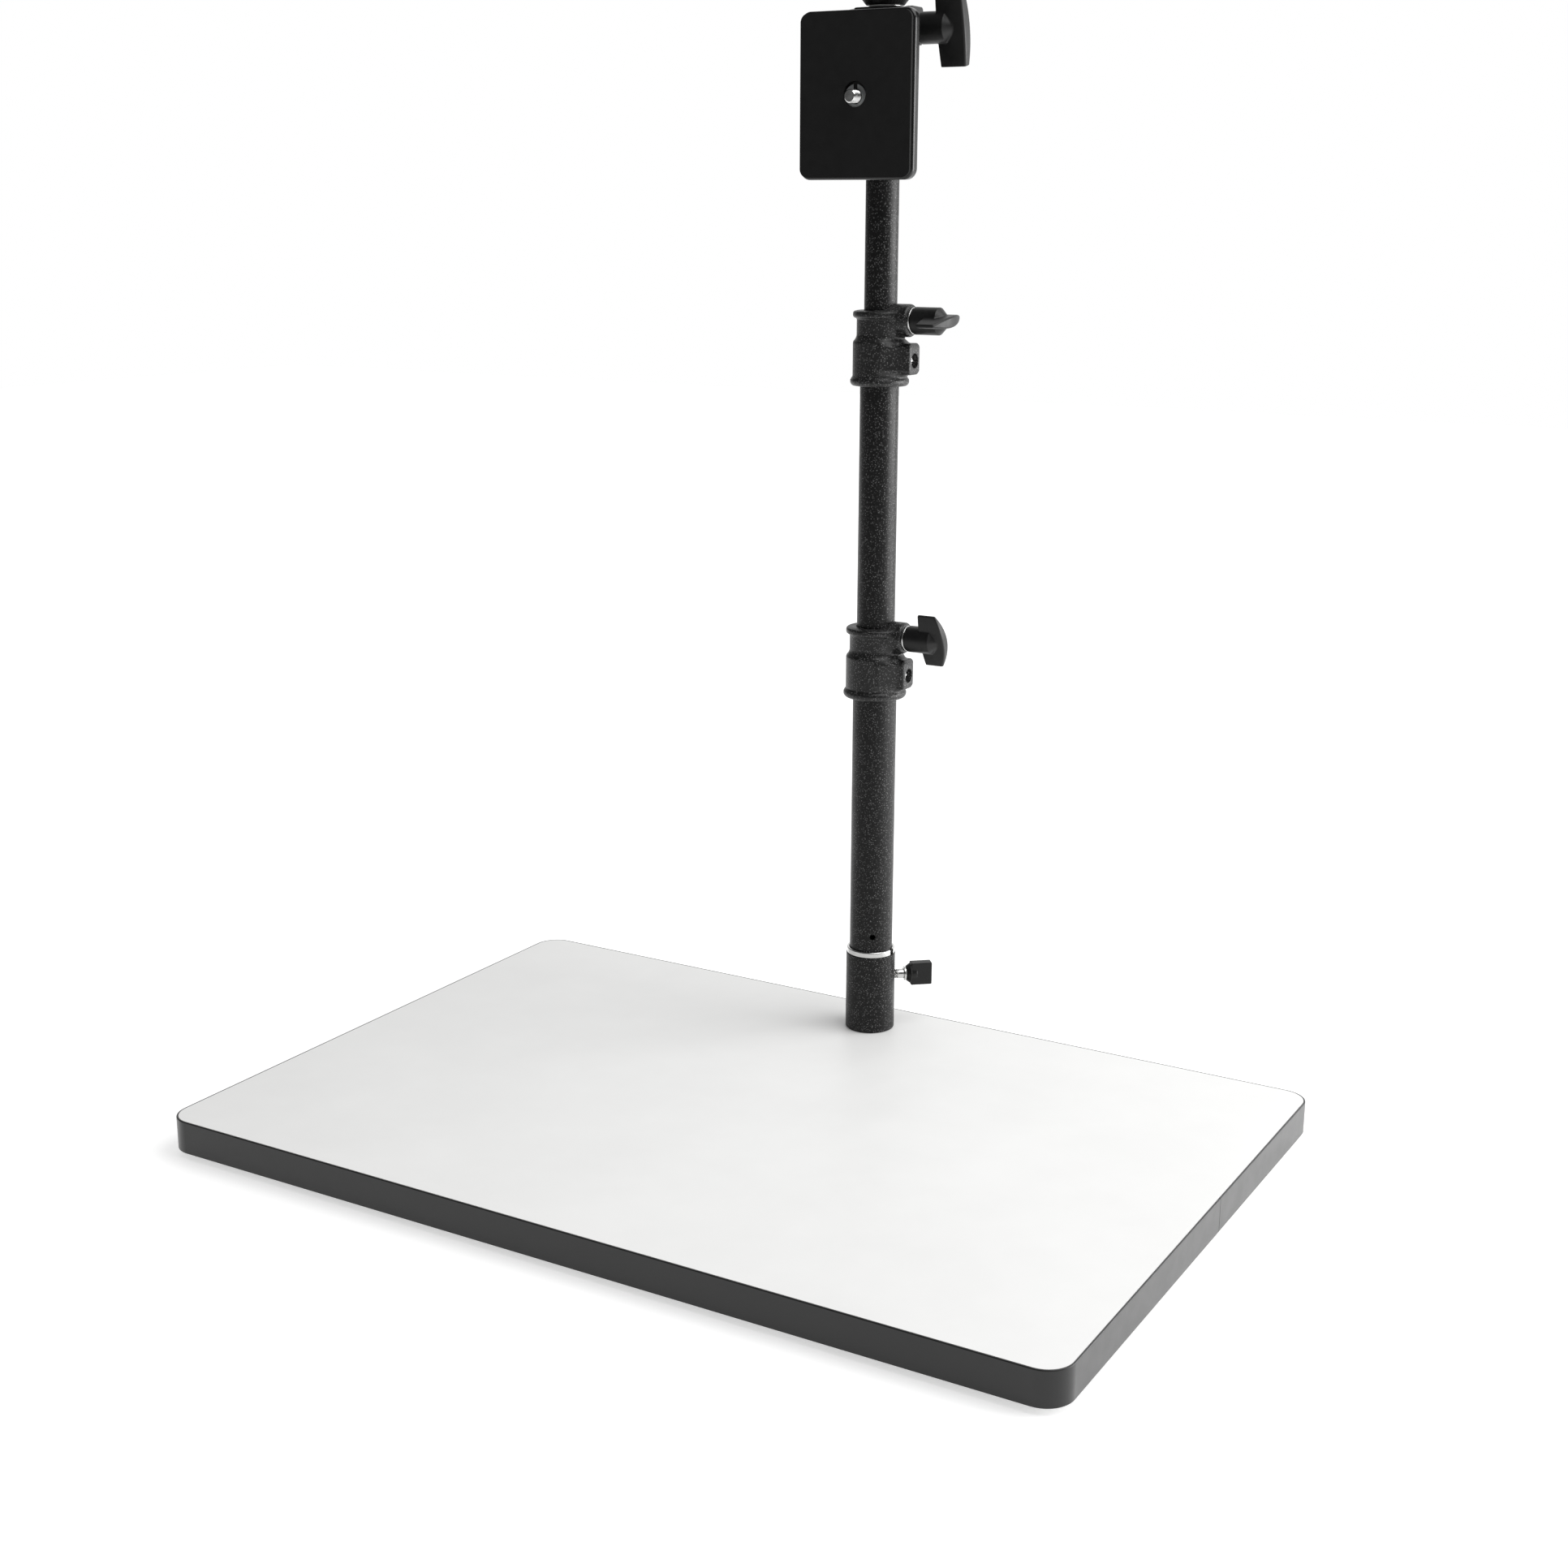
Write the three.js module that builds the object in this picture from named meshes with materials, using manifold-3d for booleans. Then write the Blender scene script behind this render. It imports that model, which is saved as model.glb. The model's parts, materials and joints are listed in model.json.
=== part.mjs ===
// A desktop copy stand: a laminated baseboard, a socket near its back edge, a three-section
// telescopic column with a T-knob clamp at each joint, and a small pan and tilt head.
// Millimetres, +Z up. X runs along the board, the column stands towards +Y, and the origin is
// the middle of the board at the level of the feet.
import * as THREE from 'three';
import { mergeVertices } from 'three/addons/utils/BufferGeometryUtils.js';
import Module from 'manifold-3d';

const wasm = await Module();
wasm.setup();

// Clearances shared by the whole stand
const slideGap = 0.15;
const seatGap = 0.1;
const screwGap = 0.15;
const overrun = 5;

// Baseboard
const boardLength = 457.2;
const boardDepth = 304.8;
const boardThickness = 16;
const boardCornerRadius = 12.7;
const bandThickness = 1;
const bandSeamGap = 0.3;
const bandSeamFromBack = 132.3;
const laminateThickness = 0.8;
const footDiameter = 16;
const footHeight = 3;
const footInset = 35;
const footTaper = 1.5;

// Socket
const columnFromBack = 28.5;
const socketDiameter = 25.4;
const socketHeight = 41.2;
const socketFloor = 6;
const socketChamfer = 0.6;
const bushLipHeight = 3;
const bushLipInset = 0.2;
const bushSkirtDepth = 8;
const bushWall = 0.5;
const bushChamfer = 0.9;
const bushSlot = 3;
const socketBoltDiameter = 8;
const socketBoltHeadAcross = 13;
const socketBoltHeadHeight = 5.3;
const socketBoltWasherDiameter = 17;
const socketBoltWasherThickness = 1.6;
const socketBoltRecessDiameter = 22;
const socketBoltRecessDepth = 8;

// Socket thumbscrew
const socketScrewHeading = THREE.MathUtils.degToRad(40);
const socketScrewHeight = 27.8;
const socketScrewDiameter = 5;
const socketScrewEnd = 24;
const socketTipDiameter = 3.8;
const socketTipLength = 1.2;
const ferruleDiameter = 7.4;
const ferruleLength = 1.2;
const wingCollarStart = 18.9;
const wingCollarLength = 2.4;
const wingCollarDiameter = 10.8;
const wingHeadLength = 11.2;
const wingHeadWidth = 12;
const wingHeadThickness = 5.2;
const wingHeadBevel = 0.6;
const wingCoreDiameter = 6.4;
const wingCoreCover = 0.6;

// Column tubes
const lowerTubeDiameter = 22;
const middleTubeDiameter = 19;
const upperTubeDiameter = 16;
const tubeWall = 1.2;
const lowerTubeLength = 190.7;
const middleTubeLength = 190;
const upperTubeLength = 190;
const middleTubeOut = 154.7;
const upperTubeOut = 110.5;
const tubeHoleDiameter = 2.6;
const tubeHoleFromBottom = 46;
const tubeHoleHeading = THREE.MathUtils.degToRad(-58);
const glideFlangeHeight = 2.5;
const glidePlugDepth = 8;
const glideBoreDiameter = 8;

// Clamp collar, the same moulding in two sizes
const collarHeight = 35.3;
const collarShoulder = 19.2;
const collarFlangeHeight = 3.7;
const collarFlangeLip = 1.1;
const collarFlangeRound = 0.9;
const collarLowerWall = 3.75;
const collarStepLow = 20.6;
const collarStepHigh = 22.7;
const collarUpperWall = 3.5;
const collarRimLow = 31.9;
const collarRimLip = 1.85;
const collarRimRound = 0.8;
const knobBossDiameter = 15.6;
const knobBossFace = 17.4;
const knobBossChamfer = 1.3;
const knobAxisHeight = 31;
const screwBossWidth = 10;
const screwBossHeight = 15;
const screwBossMiddle = 12.9;
const screwBossFace = 18.5;
const screwBossCorner = 1.8;
const screwAxisHeight = 12.1;
const collarScrewDiameter = 4;
const collarScrewHeadDiameter = 6.6;
const collarScrewHeadHeight = 2.2;
const collarScrewHeadSink = 1.3;
const collarScrewTipGap = 0.2;
const crossSlotLength = 4;
const crossSlotWidth = 1;
const crossSlotDepth = 1.3;

// Clamp hardware
const studDiameter = 6;
const nutAcrossFlats = 10;
const nutThickness = 3;
const shoeDiameter = 8;
const shoeThickness = 1.4;
const clampTravel = 2;
const clampWasherDiameter = 12.8;
const clampWasherThickness = 1;
const studIntoKnob = 5.5;

// T-knob of the collars
const clampKnobDiameter = 13.1;
const clampKnobNeckDiameter = 12;
const clampKnobNeckLength = 0.5;
const clampKnobCollarLength = 13.4;
const clampWingStart = 7.5;
const clampWingEnd = 16.9;
const clampWingCrown = 20.4;
const clampWingLength = 28.6;
const clampWingMiddleThickness = 5.4;
const clampWingTipThickness = 1.4;
const lowerKnobTurn = THREE.MathUtils.degToRad(22);
const upperKnobTurn = THREE.MathUtils.degToRad(97);
const knobChamfer = 0.5;

// Head
const spigotPlugDepth = 33;
const spigotShoulderHeight = 3;
const spigotScrewDrop = 21;
const spigotScrewDiameter = 4;
const spigotScrewHeadDiameter = 11;
const spigotScrewHeadReach = 4.4;
const spigotScrewDepth = 6;
const panPostDiameter = 8;
const panWasherDiameter = 18;
const panWasherThickness = 1.2;
const tiltAxisAboveTube = 34;
const headBodyWidth = 24.2;
const headBodyDepth = 20;
const headBodyTop = 9.6;
const headBodyBaseDiameter = 22;
const headBodyBaseHeight = 7;
const headBodyBaseTaper = 3;
const headBodyEdge = 2.4;
const trunnionDepth = 6.2;
const panKnobWasherDiameter = 16;
const panKnobWasherThickness = 1;
const panKnobHeight = 9.6;
const panKnobNeckDiameter = 18;
const panKnobDiameter = 23.2;
const panKnobFlareTop = 3.2;
const panKnobGripTop = 6.4;
const panKnobCrownDiameter = 12;
const panKnobBoreDepth = 6;

// Camera platform
const earGap = 0.3;
const earThickness = 3;
const earAbove = 10;
const earBelow = 7;
const earBack = 9;
const earCorner = 1.5;
const earSlopeStart = -2;
const earAtPlate = 5.5;
const platformWidth = 59.8;
const platformHeight = 75;
const platformThickness = 5.5;
const platformCorner = 5;
const platformTop = 7;
const platformFront = 27.5;
const padThickness = 1.5;
const padInset = 1;
const pivotScrewDiameter = 6;
const pivotScrewHeadDiameter = 11;
const pivotScrewHeadHeight = 2.6;
const cameraScrewDiameter = 6.35;
const cameraScrewDrop = 31;
const cameraScrewProud = 5;
const cameraScrewHeadDiameter = 20;
const cameraScrewHeadHeight = 3;
const cameraScrewHeadGap = 0.3;
const cameraClipDiameter = 11;
const cameraClipThickness = 0.6;

// T-knob of the tilt
const tiltWasherDiameter = 14;
const tiltWasherThickness = 1.2;
const tiltKnobNeckDiameter = 10;
const tiltKnobNeckLength = 2.8;
const tiltKnobDiameter = 14.4;
const tiltKnobCollarLength = 16.1;
const tiltWingStart = 11.7;
const tiltWingEnd = 24.5;
const tiltWingCrown = 25.8;
const tiltWingLength = 35;
const tiltWingMiddleThickness = 6.6;
const tiltWingTipThickness = 4.2;
const tiltKnobTurn = THREE.MathUtils.degToRad(14);

// Faces round a full turn of the larger and of the smaller round pieces
const roundSides = 36;
const smallSides = 18;
const curveSteps = 6;

// Radii and levels that follow from the sizes above
const lowerTubeRadius = lowerTubeDiameter / 2;
const middleTubeRadius = middleTubeDiameter / 2;
const upperTubeRadius = upperTubeDiameter / 2;
const boardBottom = footHeight;
const boardTop = boardBottom + boardThickness;
const columnY = boardDepth / 2 - columnFromBack;
const lowerTubeBottom = boardTop + socketFloor + seatGap;
const lowerTubeTop = lowerTubeBottom + lowerTubeLength;
const middleTubeTop = lowerTubeTop + middleTubeOut;
const upperTubeTop = middleTubeTop + upperTubeOut;
const collarDrop = collarShoulder - seatGap;
const lowerCollarBase = lowerTubeTop - collarDrop;
const upperCollarBase = middleTubeTop - collarDrop;

// The finishes
const blackPowder = { color: 0x1d1d1e, roughness: 0.55, metalness: 0.3 };
const blackEnamel = { color: 0x161617, roughness: 0.3, metalness: 0.2 };
const blackMoulding = { color: 0x262627, roughness: 0.6, metalness: 0 };
const blackKnob = { color: 0x161617, roughness: 0.5, metalness: 0 };
const whiteLaminate = { color: 0xf1f1f0, roughness: 0.4, metalness: 0 };
const particleBoard = { color: 0xb89468, roughness: 0.9, metalness: 0 };
const blackBand = { color: 0x2b2b2c, roughness: 0.45, metalness: 0 };
const rubber = { color: 0x1a1a1a, roughness: 0.9, metalness: 0 };
const brightMetal = { color: 0xd4d5d6, roughness: 0.25, metalness: 1 };
const zincMetal = { color: 0xb4b5b2, roughness: 0.4, metalness: 1 };
const nylon = { color: 0xe0ddd2, roughness: 0.5, metalness: 0 };

// Solid helpers: a closed three.js geometry becomes a solid, and a solid becomes a geometry.
function solidOf(geometry) {
  const bare = geometry.clone();
  bare.deleteAttribute('normal');
  bare.deleteAttribute('uv');
  const merged = mergeVertices(bare);
  const mesh = new wasm.Mesh({
    numProp: 3,
    vertProperties: new Float32Array(merged.attributes.position.array),
    triVerts: new Uint32Array(merged.index.array),
  });
  return new wasm.Manifold(mesh);
}

function geometryOf(solid) {
  const mesh = solid.getMesh();
  const geometry = new THREE.BufferGeometry();
  const positions = new Float32Array(mesh.numVert * mesh.numProp);
  positions.set(mesh.vertProperties);
  geometry.setAttribute('position', new THREE.BufferAttribute(positions, mesh.numProp));
  geometry.setIndex(new THREE.BufferAttribute(new Uint32Array(mesh.triVerts), 1));
  geometry.computeVertexNormals();
  return geometry;
}

function join(...pieces) {
  const solids = pieces.map(solidOf);
  return geometryOf(solids.reduce((whole, next) => whole.add(next)));
}

function cut(body, ...tools) {
  const solids = tools.map(solidOf);
  return geometryOf(solids.reduce((rest, next) => rest.subtract(next), solidOf(body)));
}

function common(first, second) {
  return geometryOf(solidOf(first).intersect(solidOf(second)));
}

// A profile of [radius, height] pairs turned about +Z; it starts and ends on the axis.
function turned(profile, sides = roundSides) {
  const points = profile.map(([radius, height]) => new THREE.Vector2(radius, height));
  return new THREE.LatheGeometry(points, sides).rotateX(Math.PI / 2);
}

// A round bar from one height to another.
function bar(radius, bottom, top, sides = smallSides) {
  return turned([[0, bottom], [radius, bottom], [radius, top], [0, top]], sides);
}

// A tube from one height to another.
function pipe(inner, outer, bottom, top, sides = roundSides) {
  const profile = [[inner, bottom], [outer, bottom], [outer, top], [inner, top], [inner, bottom]];
  return turned(profile, sides);
}

// A six-sided bar, by its size across flats.
function hexBar(acrossFlats, bottom, top) {
  const sides = 6;
  const radius = acrossFlats / (2 * Math.cos(Math.PI / sides));
  return turned([[0, bottom], [radius, bottom], [radius, top], [0, top]], sides);
}

// Turns a piece that was made along +Z so that it lies along +X.
function alongX(geometry) {
  return geometry.rotateY(Math.PI / 2);
}

// A rectangle with round corners, centred on the origin.
function roundedRectangle(width, height, radius) {
  const x = width / 2;
  const y = height / 2;
  const shape = new THREE.Shape();
  shape.moveTo(radius - x, -y);
  shape.lineTo(x - radius, -y);
  shape.absarc(x - radius, radius - y, radius, -Math.PI / 2, 0, false);
  shape.lineTo(x, y - radius);
  shape.absarc(x - radius, y - radius, radius, 0, Math.PI / 2, false);
  shape.lineTo(radius - x, y);
  shape.absarc(radius - x, y - radius, radius, Math.PI / 2, Math.PI, false);
  shape.lineTo(-x, radius - y);
  shape.absarc(radius - x, radius - y, radius, Math.PI, 1.5 * Math.PI, false);
  return shape;
}

function extruded(shape, depth) {
  return new THREE.ExtrudeGeometry(shape, { depth, bevelEnabled: false, curveSegments: curveSteps });
}

// A plate in the XY plane, from one height up.
function plate(width, height, radius, bottom, thickness) {
  return extruded(roundedRectangle(width, height, radius), thickness).translate(0, 0, bottom);
}

function box(width, depth, height) {
  return new THREE.BoxGeometry(width, depth, height);
}

const stand = new THREE.Group();

function addPart(parent, name, geometry, finish) {
  const mesh = new THREE.Mesh(geometry, new THREE.MeshStandardMaterial(finish));
  mesh.name = name;
  parent.add(mesh);
  return mesh;
}

function addGroup(parent, x, y, z) {
  const group = new THREE.Group();
  group.position.set(x, y, z);
  parent.add(group);
  return group;
}

// Baseboard: a particle-board slab with laminate on both faces and a black band round its edge
function addBoard() {
  const board = addGroup(stand, 0, 0, boardBottom);
  const coreLength = boardLength - 2 * bandThickness;
  const coreDepth = boardDepth - 2 * bandThickness;
  const coreCorner = boardCornerRadius - bandThickness;
  const coreBottom = laminateThickness;
  const coreThickness = boardThickness - 2 * laminateThickness;
  const boltRadius = socketBoltDiameter / 2 + screwGap;
  const recessRadius = socketBoltRecessDiameter / 2;
  const boltHole = bar(boltRadius, -overrun, boardThickness + overrun).translate(0, columnY, 0);
  const recess = bar(recessRadius, -overrun, socketBoltRecessDepth).translate(0, columnY, 0);

  const core = plate(coreLength, coreDepth, coreCorner, coreBottom, coreThickness);
  addPart(board, 'baseboard_core', cut(core, boltHole, recess), particleBoard);

  const topSheetBottom = boardThickness - laminateThickness;
  const topSheet = plate(coreLength, coreDepth, coreCorner, topSheetBottom, laminateThickness);
  addPart(board, 'top_laminate', cut(topSheet, boltHole), whiteLaminate);
  const bottomSheet = plate(coreLength, coreDepth, coreCorner, 0, laminateThickness);
  addPart(board, 'bottom_laminate', cut(bottomSheet, recess), whiteLaminate);

  const bandOuter = plate(boardLength, boardDepth, boardCornerRadius, 0, boardThickness);
  const bandInnerLength = coreLength + 2 * seatGap;
  const bandInnerDepth = coreDepth + 2 * seatGap;
  const bandInnerHeight = boardThickness + 2 * overrun;
  const bandInner = plate(bandInnerLength, bandInnerDepth, coreCorner, -overrun, bandInnerHeight);
  const seam = box(overrun, bandSeamGap, bandInnerHeight);
  seam.translate(boardLength / 2, boardDepth / 2 - bandSeamFromBack, boardThickness / 2);
  addPart(board, 'edge_band', cut(bandOuter, bandInner, seam), blackBand);
}

function addFeet() {
  const footRadius = footDiameter / 2;
  const footTop = footHeight - seatGap;
  const x = boardLength / 2 - footInset;
  const y = boardDepth / 2 - footInset;
  const corners = { front_left: [-x, -y], front_right: [x, -y], back_left: [-x, y], back_right: [x, y] };
  for (const [corner, [footX, footY]] of Object.entries(corners)) {
    const profile = [[0, 0], [footRadius - footTaper, 0], [footRadius, footTop], [0, footTop]];
    addPart(stand, `foot_${corner}`, turned(profile, smallSides), rubber).position.set(footX, footY, 0);
  }
}

// Socket: a cup with a split bush in its mouth, bolted through the board from below
function addSocket(column) {
  const socket = addGroup(column, 0, 0, boardTop);
  const radius = socketDiameter / 2;
  const bore = lowerTubeRadius + slideGap;
  const bushOuter = bore + bushWall;
  const bushBore = bushOuter + seatGap;
  const skirtBottom = socketHeight - bushSkirtDepth;
  const profile = [
    [0, 0],
    [radius - socketChamfer, 0],
    [radius, socketChamfer],
    [radius, socketHeight],
    [bushBore, socketHeight],
    [bushBore, skirtBottom - seatGap],
    [bore, skirtBottom - seatGap],
    [bore, socketFloor],
    [0, socketFloor],
  ];
  const boltHole = bar(socketBoltDiameter / 2 + screwGap, -overrun, socketFloor + overrun);
  const screwHole = alongX(bar(socketScrewDiameter / 2 + screwGap, 0, radius + overrun));
  screwHole.rotateZ(socketScrewHeading).translate(0, 0, socketScrewHeight);
  addPart(socket, 'column_socket', cut(turned(profile), boltHole, screwHole), blackPowder);

  const lipBottom = socketHeight + seatGap;
  const lipTop = socketHeight + bushLipHeight;
  const lipRadius = radius - bushLipInset;
  const bushProfile = [
    [bore, skirtBottom],
    [bushOuter, skirtBottom],
    [bushOuter, lipBottom],
    [lipRadius, lipBottom],
    [lipRadius, lipTop - bushChamfer],
    [lipRadius - bushChamfer, lipTop],
    [bore, lipTop],
    [bore, skirtBottom],
  ];
  const slot = box(socketDiameter, bushSlot, socketHeight);
  slot.translate(radius, 0, socketHeight);
  addPart(socket, 'socket_bush', cut(turned(bushProfile), slot), brightMetal);

  const boltTop = socketFloor - seatGap;
  const recessTop = socketBoltRecessDepth - boardThickness;
  const washerTop = recessTop - seatGap;
  const washerBottom = washerTop - socketBoltWasherThickness;
  const headTop = washerBottom - seatGap;
  const headBottom = headTop - socketBoltHeadHeight;
  const washerRadius = socketBoltWasherDiameter / 2;
  const washer = pipe(socketBoltDiameter / 2 + screwGap, washerRadius, washerBottom, washerTop, smallSides);
  addPart(socket, 'socket_bolt_washer', washer, zincMetal);
  const boltHead = hexBar(socketBoltHeadAcross, headBottom, headTop);
  const boltShank = bar(socketBoltDiameter / 2, headBottom, boltTop);
  addPart(socket, 'socket_bolt', join(boltHead, boltShank), zincMetal);
}

// Socket thumbscrew: a tip that bears on the tube, a bright screw and a square wing knob
function addSocketScrew(column) {
  const screwGroup = addGroup(column, 0, 0, boardTop + socketScrewHeight);
  screwGroup.rotation.z = socketScrewHeading;
  const tipStart = lowerTubeRadius + slideGap;
  const tipEnd = tipStart + socketTipLength;
  const screwStart = tipEnd + seatGap;
  const screwRadius = socketScrewDiameter / 2;
  const tip = alongX(bar(socketTipDiameter / 2, tipStart, tipEnd));
  addPart(screwGroup, 'socket_screw_tip', tip, nylon);
  const screw = alongX(bar(screwRadius, screwStart, socketScrewEnd));
  addPart(screwGroup, 'socket_screw', screw, brightMetal);

  const ferruleEnd = wingCollarStart - seatGap;
  const ferruleStart = ferruleEnd - ferruleLength;
  const ferrule = pipe(screwRadius + screwGap, ferruleDiameter / 2, ferruleStart, ferruleEnd, smallSides);
  addPart(screwGroup, 'socket_screw_ferrule', alongX(ferrule), brightMetal);

  const collarEnd = wingCollarStart + wingCollarLength;
  const collarRadius = wingCollarDiameter / 2;
  const collarNose = ferruleDiameter / 2;
  const coreEnd = socketScrewEnd + wingCoreCover;
  const collarProfile = [
    [0, wingCollarStart],
    [collarNose, wingCollarStart],
    [collarRadius, collarEnd],
    [wingCoreDiameter / 2, collarEnd],
    [wingCoreDiameter / 2, coreEnd],
    [0, coreEnd],
  ];
  const collar = alongX(turned(collarProfile, smallSides));
  const outline = roundedRectangle(wingHeadLength, wingHeadWidth, wingHeadBevel);
  const head = extruded(outline, wingHeadThickness).translate(0, 0, -wingHeadThickness / 2);
  head.rotateX(Math.PI / 2).translate(collarEnd + wingHeadLength / 2, 0, 0);
  const screwBore = alongX(bar(screwRadius + screwGap, 0, socketScrewEnd + seatGap));
  addPart(screwGroup, 'socket_wing_knob', cut(join(collar, head), screwBore), blackKnob);
}

// Column tubes, with end plugs that slide in the tube below
function addTube(parent, name, radius, bottom, top, ...holes) {
  const tube = pipe(radius - tubeWall, radius, bottom, top);
  addPart(parent, name, holes.length > 0 ? cut(tube, ...holes) : tube, blackPowder);
}

function addGlide(parent, name, radius, outerRadius, tubeBottom) {
  const flange = outerRadius - tubeWall - slideGap;
  const plug = radius - tubeWall - seatGap;
  const shoulder = tubeBottom - seatGap;
  const profile = [
    [glideBoreDiameter / 2, shoulder - glideFlangeHeight],
    [flange, shoulder - glideFlangeHeight],
    [flange, shoulder],
    [plug, shoulder],
    [plug, shoulder + glidePlugDepth],
    [glideBoreDiameter / 2, shoulder + glidePlugDepth],
    [glideBoreDiameter / 2, shoulder - glideFlangeHeight],
  ];
  addPart(parent, name, turned(profile), nylon);
}

// A radial hole through one wall, at a height and heading.
function radialHole(diameter, heading, height) {
  const reach = lowerTubeDiameter;
  return alongX(bar(diameter / 2, 0, reach, smallSides)).rotateZ(heading).translate(0, 0, height);
}

function addTubes(column) {
  const ventHole = radialHole(tubeHoleDiameter, tubeHoleHeading, lowerTubeBottom + tubeHoleFromBottom);
  const screwHoleDiameter = collarScrewDiameter + 2 * screwGap;
  const lowerScrewHole = radialHole(screwHoleDiameter, 0, lowerCollarBase + screwAxisHeight);
  const upperScrewHole = radialHole(screwHoleDiameter, 0, upperCollarBase + screwAxisHeight);
  const spigotHoleDiameter = spigotScrewDiameter + 2 * screwGap;
  const spigotHole = radialHole(spigotHoleDiameter, 0, upperTubeTop - spigotScrewDrop);
  const middleTubeBottom = middleTubeTop - middleTubeLength;
  const upperTubeBottom = upperTubeTop - upperTubeLength;
  addTube(column, 'lower_tube', lowerTubeRadius, lowerTubeBottom, lowerTubeTop, ventHole, lowerScrewHole);
  addTube(column, 'middle_tube', middleTubeRadius, middleTubeBottom, middleTubeTop, upperScrewHole);
  addTube(column, 'upper_tube', upperTubeRadius, upperTubeBottom, upperTubeTop, spigotHole);
  addGlide(column, 'middle_tube_glide', middleTubeRadius, lowerTubeRadius, middleTubeBottom);
  addGlide(column, 'upper_tube_glide', upperTubeRadius, middleTubeRadius, upperTubeBottom);
}

// The plan of the screw boss's flanks, which run from its face to the barrel and meet it smoothly.
function flankOutline(barrel) {
  const halfFace = screwBossWidth / 2;
  const toCorner = Math.hypot(screwBossFace, halfFace);
  const meeting = Math.atan2(halfFace, screwBossFace) + Math.acos(barrel / toCorner);
  const meetingX = barrel * Math.cos(meeting);
  const meetingY = barrel * Math.sin(meeting);
  const outline = new THREE.Shape();
  outline.moveTo(meetingX, -meetingY);
  outline.lineTo(screwBossFace, -halfFace);
  outline.lineTo(screwBossFace, halfFace);
  outline.lineTo(meetingX, meetingY);
  return outline;
}

// Clamp collar: its lower barrel is screwed to the outer tube, and its knob presses the inner one.
function collarBody(outerTube, innerTube) {
  const lowerBarrel = outerTube + collarLowerWall;
  const flange = lowerBarrel + collarFlangeLip;
  const upperBarrel = innerTube + collarUpperWall;
  const rim = upperBarrel + collarRimLip;
  const lowerBore = outerTube + slideGap;
  const upperBore = innerTube + slideGap;
  const profile = [
    [lowerBore, 0],
    [flange - collarFlangeRound, 0],
    [flange, collarFlangeRound],
    [flange, collarFlangeHeight - collarFlangeRound],
    [flange - collarFlangeRound, collarFlangeHeight],
    [lowerBarrel, collarFlangeHeight],
    [lowerBarrel, collarStepLow],
    [upperBarrel, collarStepHigh],
    [upperBarrel, collarRimLow],
    [rim - collarRimRound, collarRimLow],
    [rim, collarRimLow + collarRimRound],
    [rim, collarHeight - collarRimRound],
    [rim - collarRimRound, collarHeight],
    [upperBore, collarHeight],
    [upperBore, collarShoulder],
    [lowerBore, collarShoulder],
    [lowerBore, 0],
  ];
  const bossRadius = knobBossDiameter / 2;
  const knobBoss = alongX(turned([
    [0, innerTube],
    [bossRadius, innerTube],
    [bossRadius, knobBossFace - knobBossChamfer],
    [bossRadius - knobBossChamfer, knobBossFace],
    [0, knobBossFace],
  ]));
  knobBoss.translate(0, 0, knobAxisHeight);
  const screwOutline = roundedRectangle(screwBossWidth, screwBossHeight, screwBossCorner);
  const screwBoss = extruded(screwOutline, screwBossFace - outerTube);
  screwBoss.rotateZ(Math.PI / 2).rotateY(Math.PI / 2).translate(outerTube, 0, screwBossMiddle);
  const flankHeight = screwBossHeight - 2 * screwBossCorner;
  const flanks = extruded(flankOutline(lowerBarrel), flankHeight);
  flanks.translate(0, 0, screwBossMiddle - flankHeight / 2);

  const boreAbove = bar(upperBore, collarShoulder, collarHeight + knobBossDiameter, roundSides);
  const boreBelow = bar(lowerBore, -overrun, collarShoulder, roundSides);
  const nutEnd = nutStart(innerTube) + nutThickness + seatGap;
  const nutPocket = alongX(hexBar(nutAcrossFlats + 2 * screwGap, 0, nutEnd));
  nutPocket.translate(0, 0, knobAxisHeight);
  const studHole = alongX(bar(studDiameter / 2 + 2 * screwGap, 0, knobBossFace + overrun));
  studHole.translate(0, 0, knobAxisHeight);
  const shankHole = alongX(bar(collarScrewDiameter / 2 + screwGap, 0, screwBossFace + overrun));
  shankHole.translate(0, 0, screwAxisHeight);
  const headSeat = screwBossFace - collarScrewHeadSink - collarScrewHeadHeight - seatGap;
  const headRecess = alongX(bar(collarScrewHeadDiameter / 2 + screwGap, headSeat, screwBossFace + overrun));
  headRecess.translate(0, 0, screwAxisHeight);
  const whole = join(turned(profile), knobBoss, screwBoss, flanks);
  return cut(whole, boreAbove, boreBelow, nutPocket, studHole, shankHole, headRecess);
}

// The captive nut starts behind the shoe and the room that the shoe travels.
function nutStart(innerTube) {
  return innerTube + slideGap + shoeThickness + clampTravel + screwGap;
}

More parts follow.
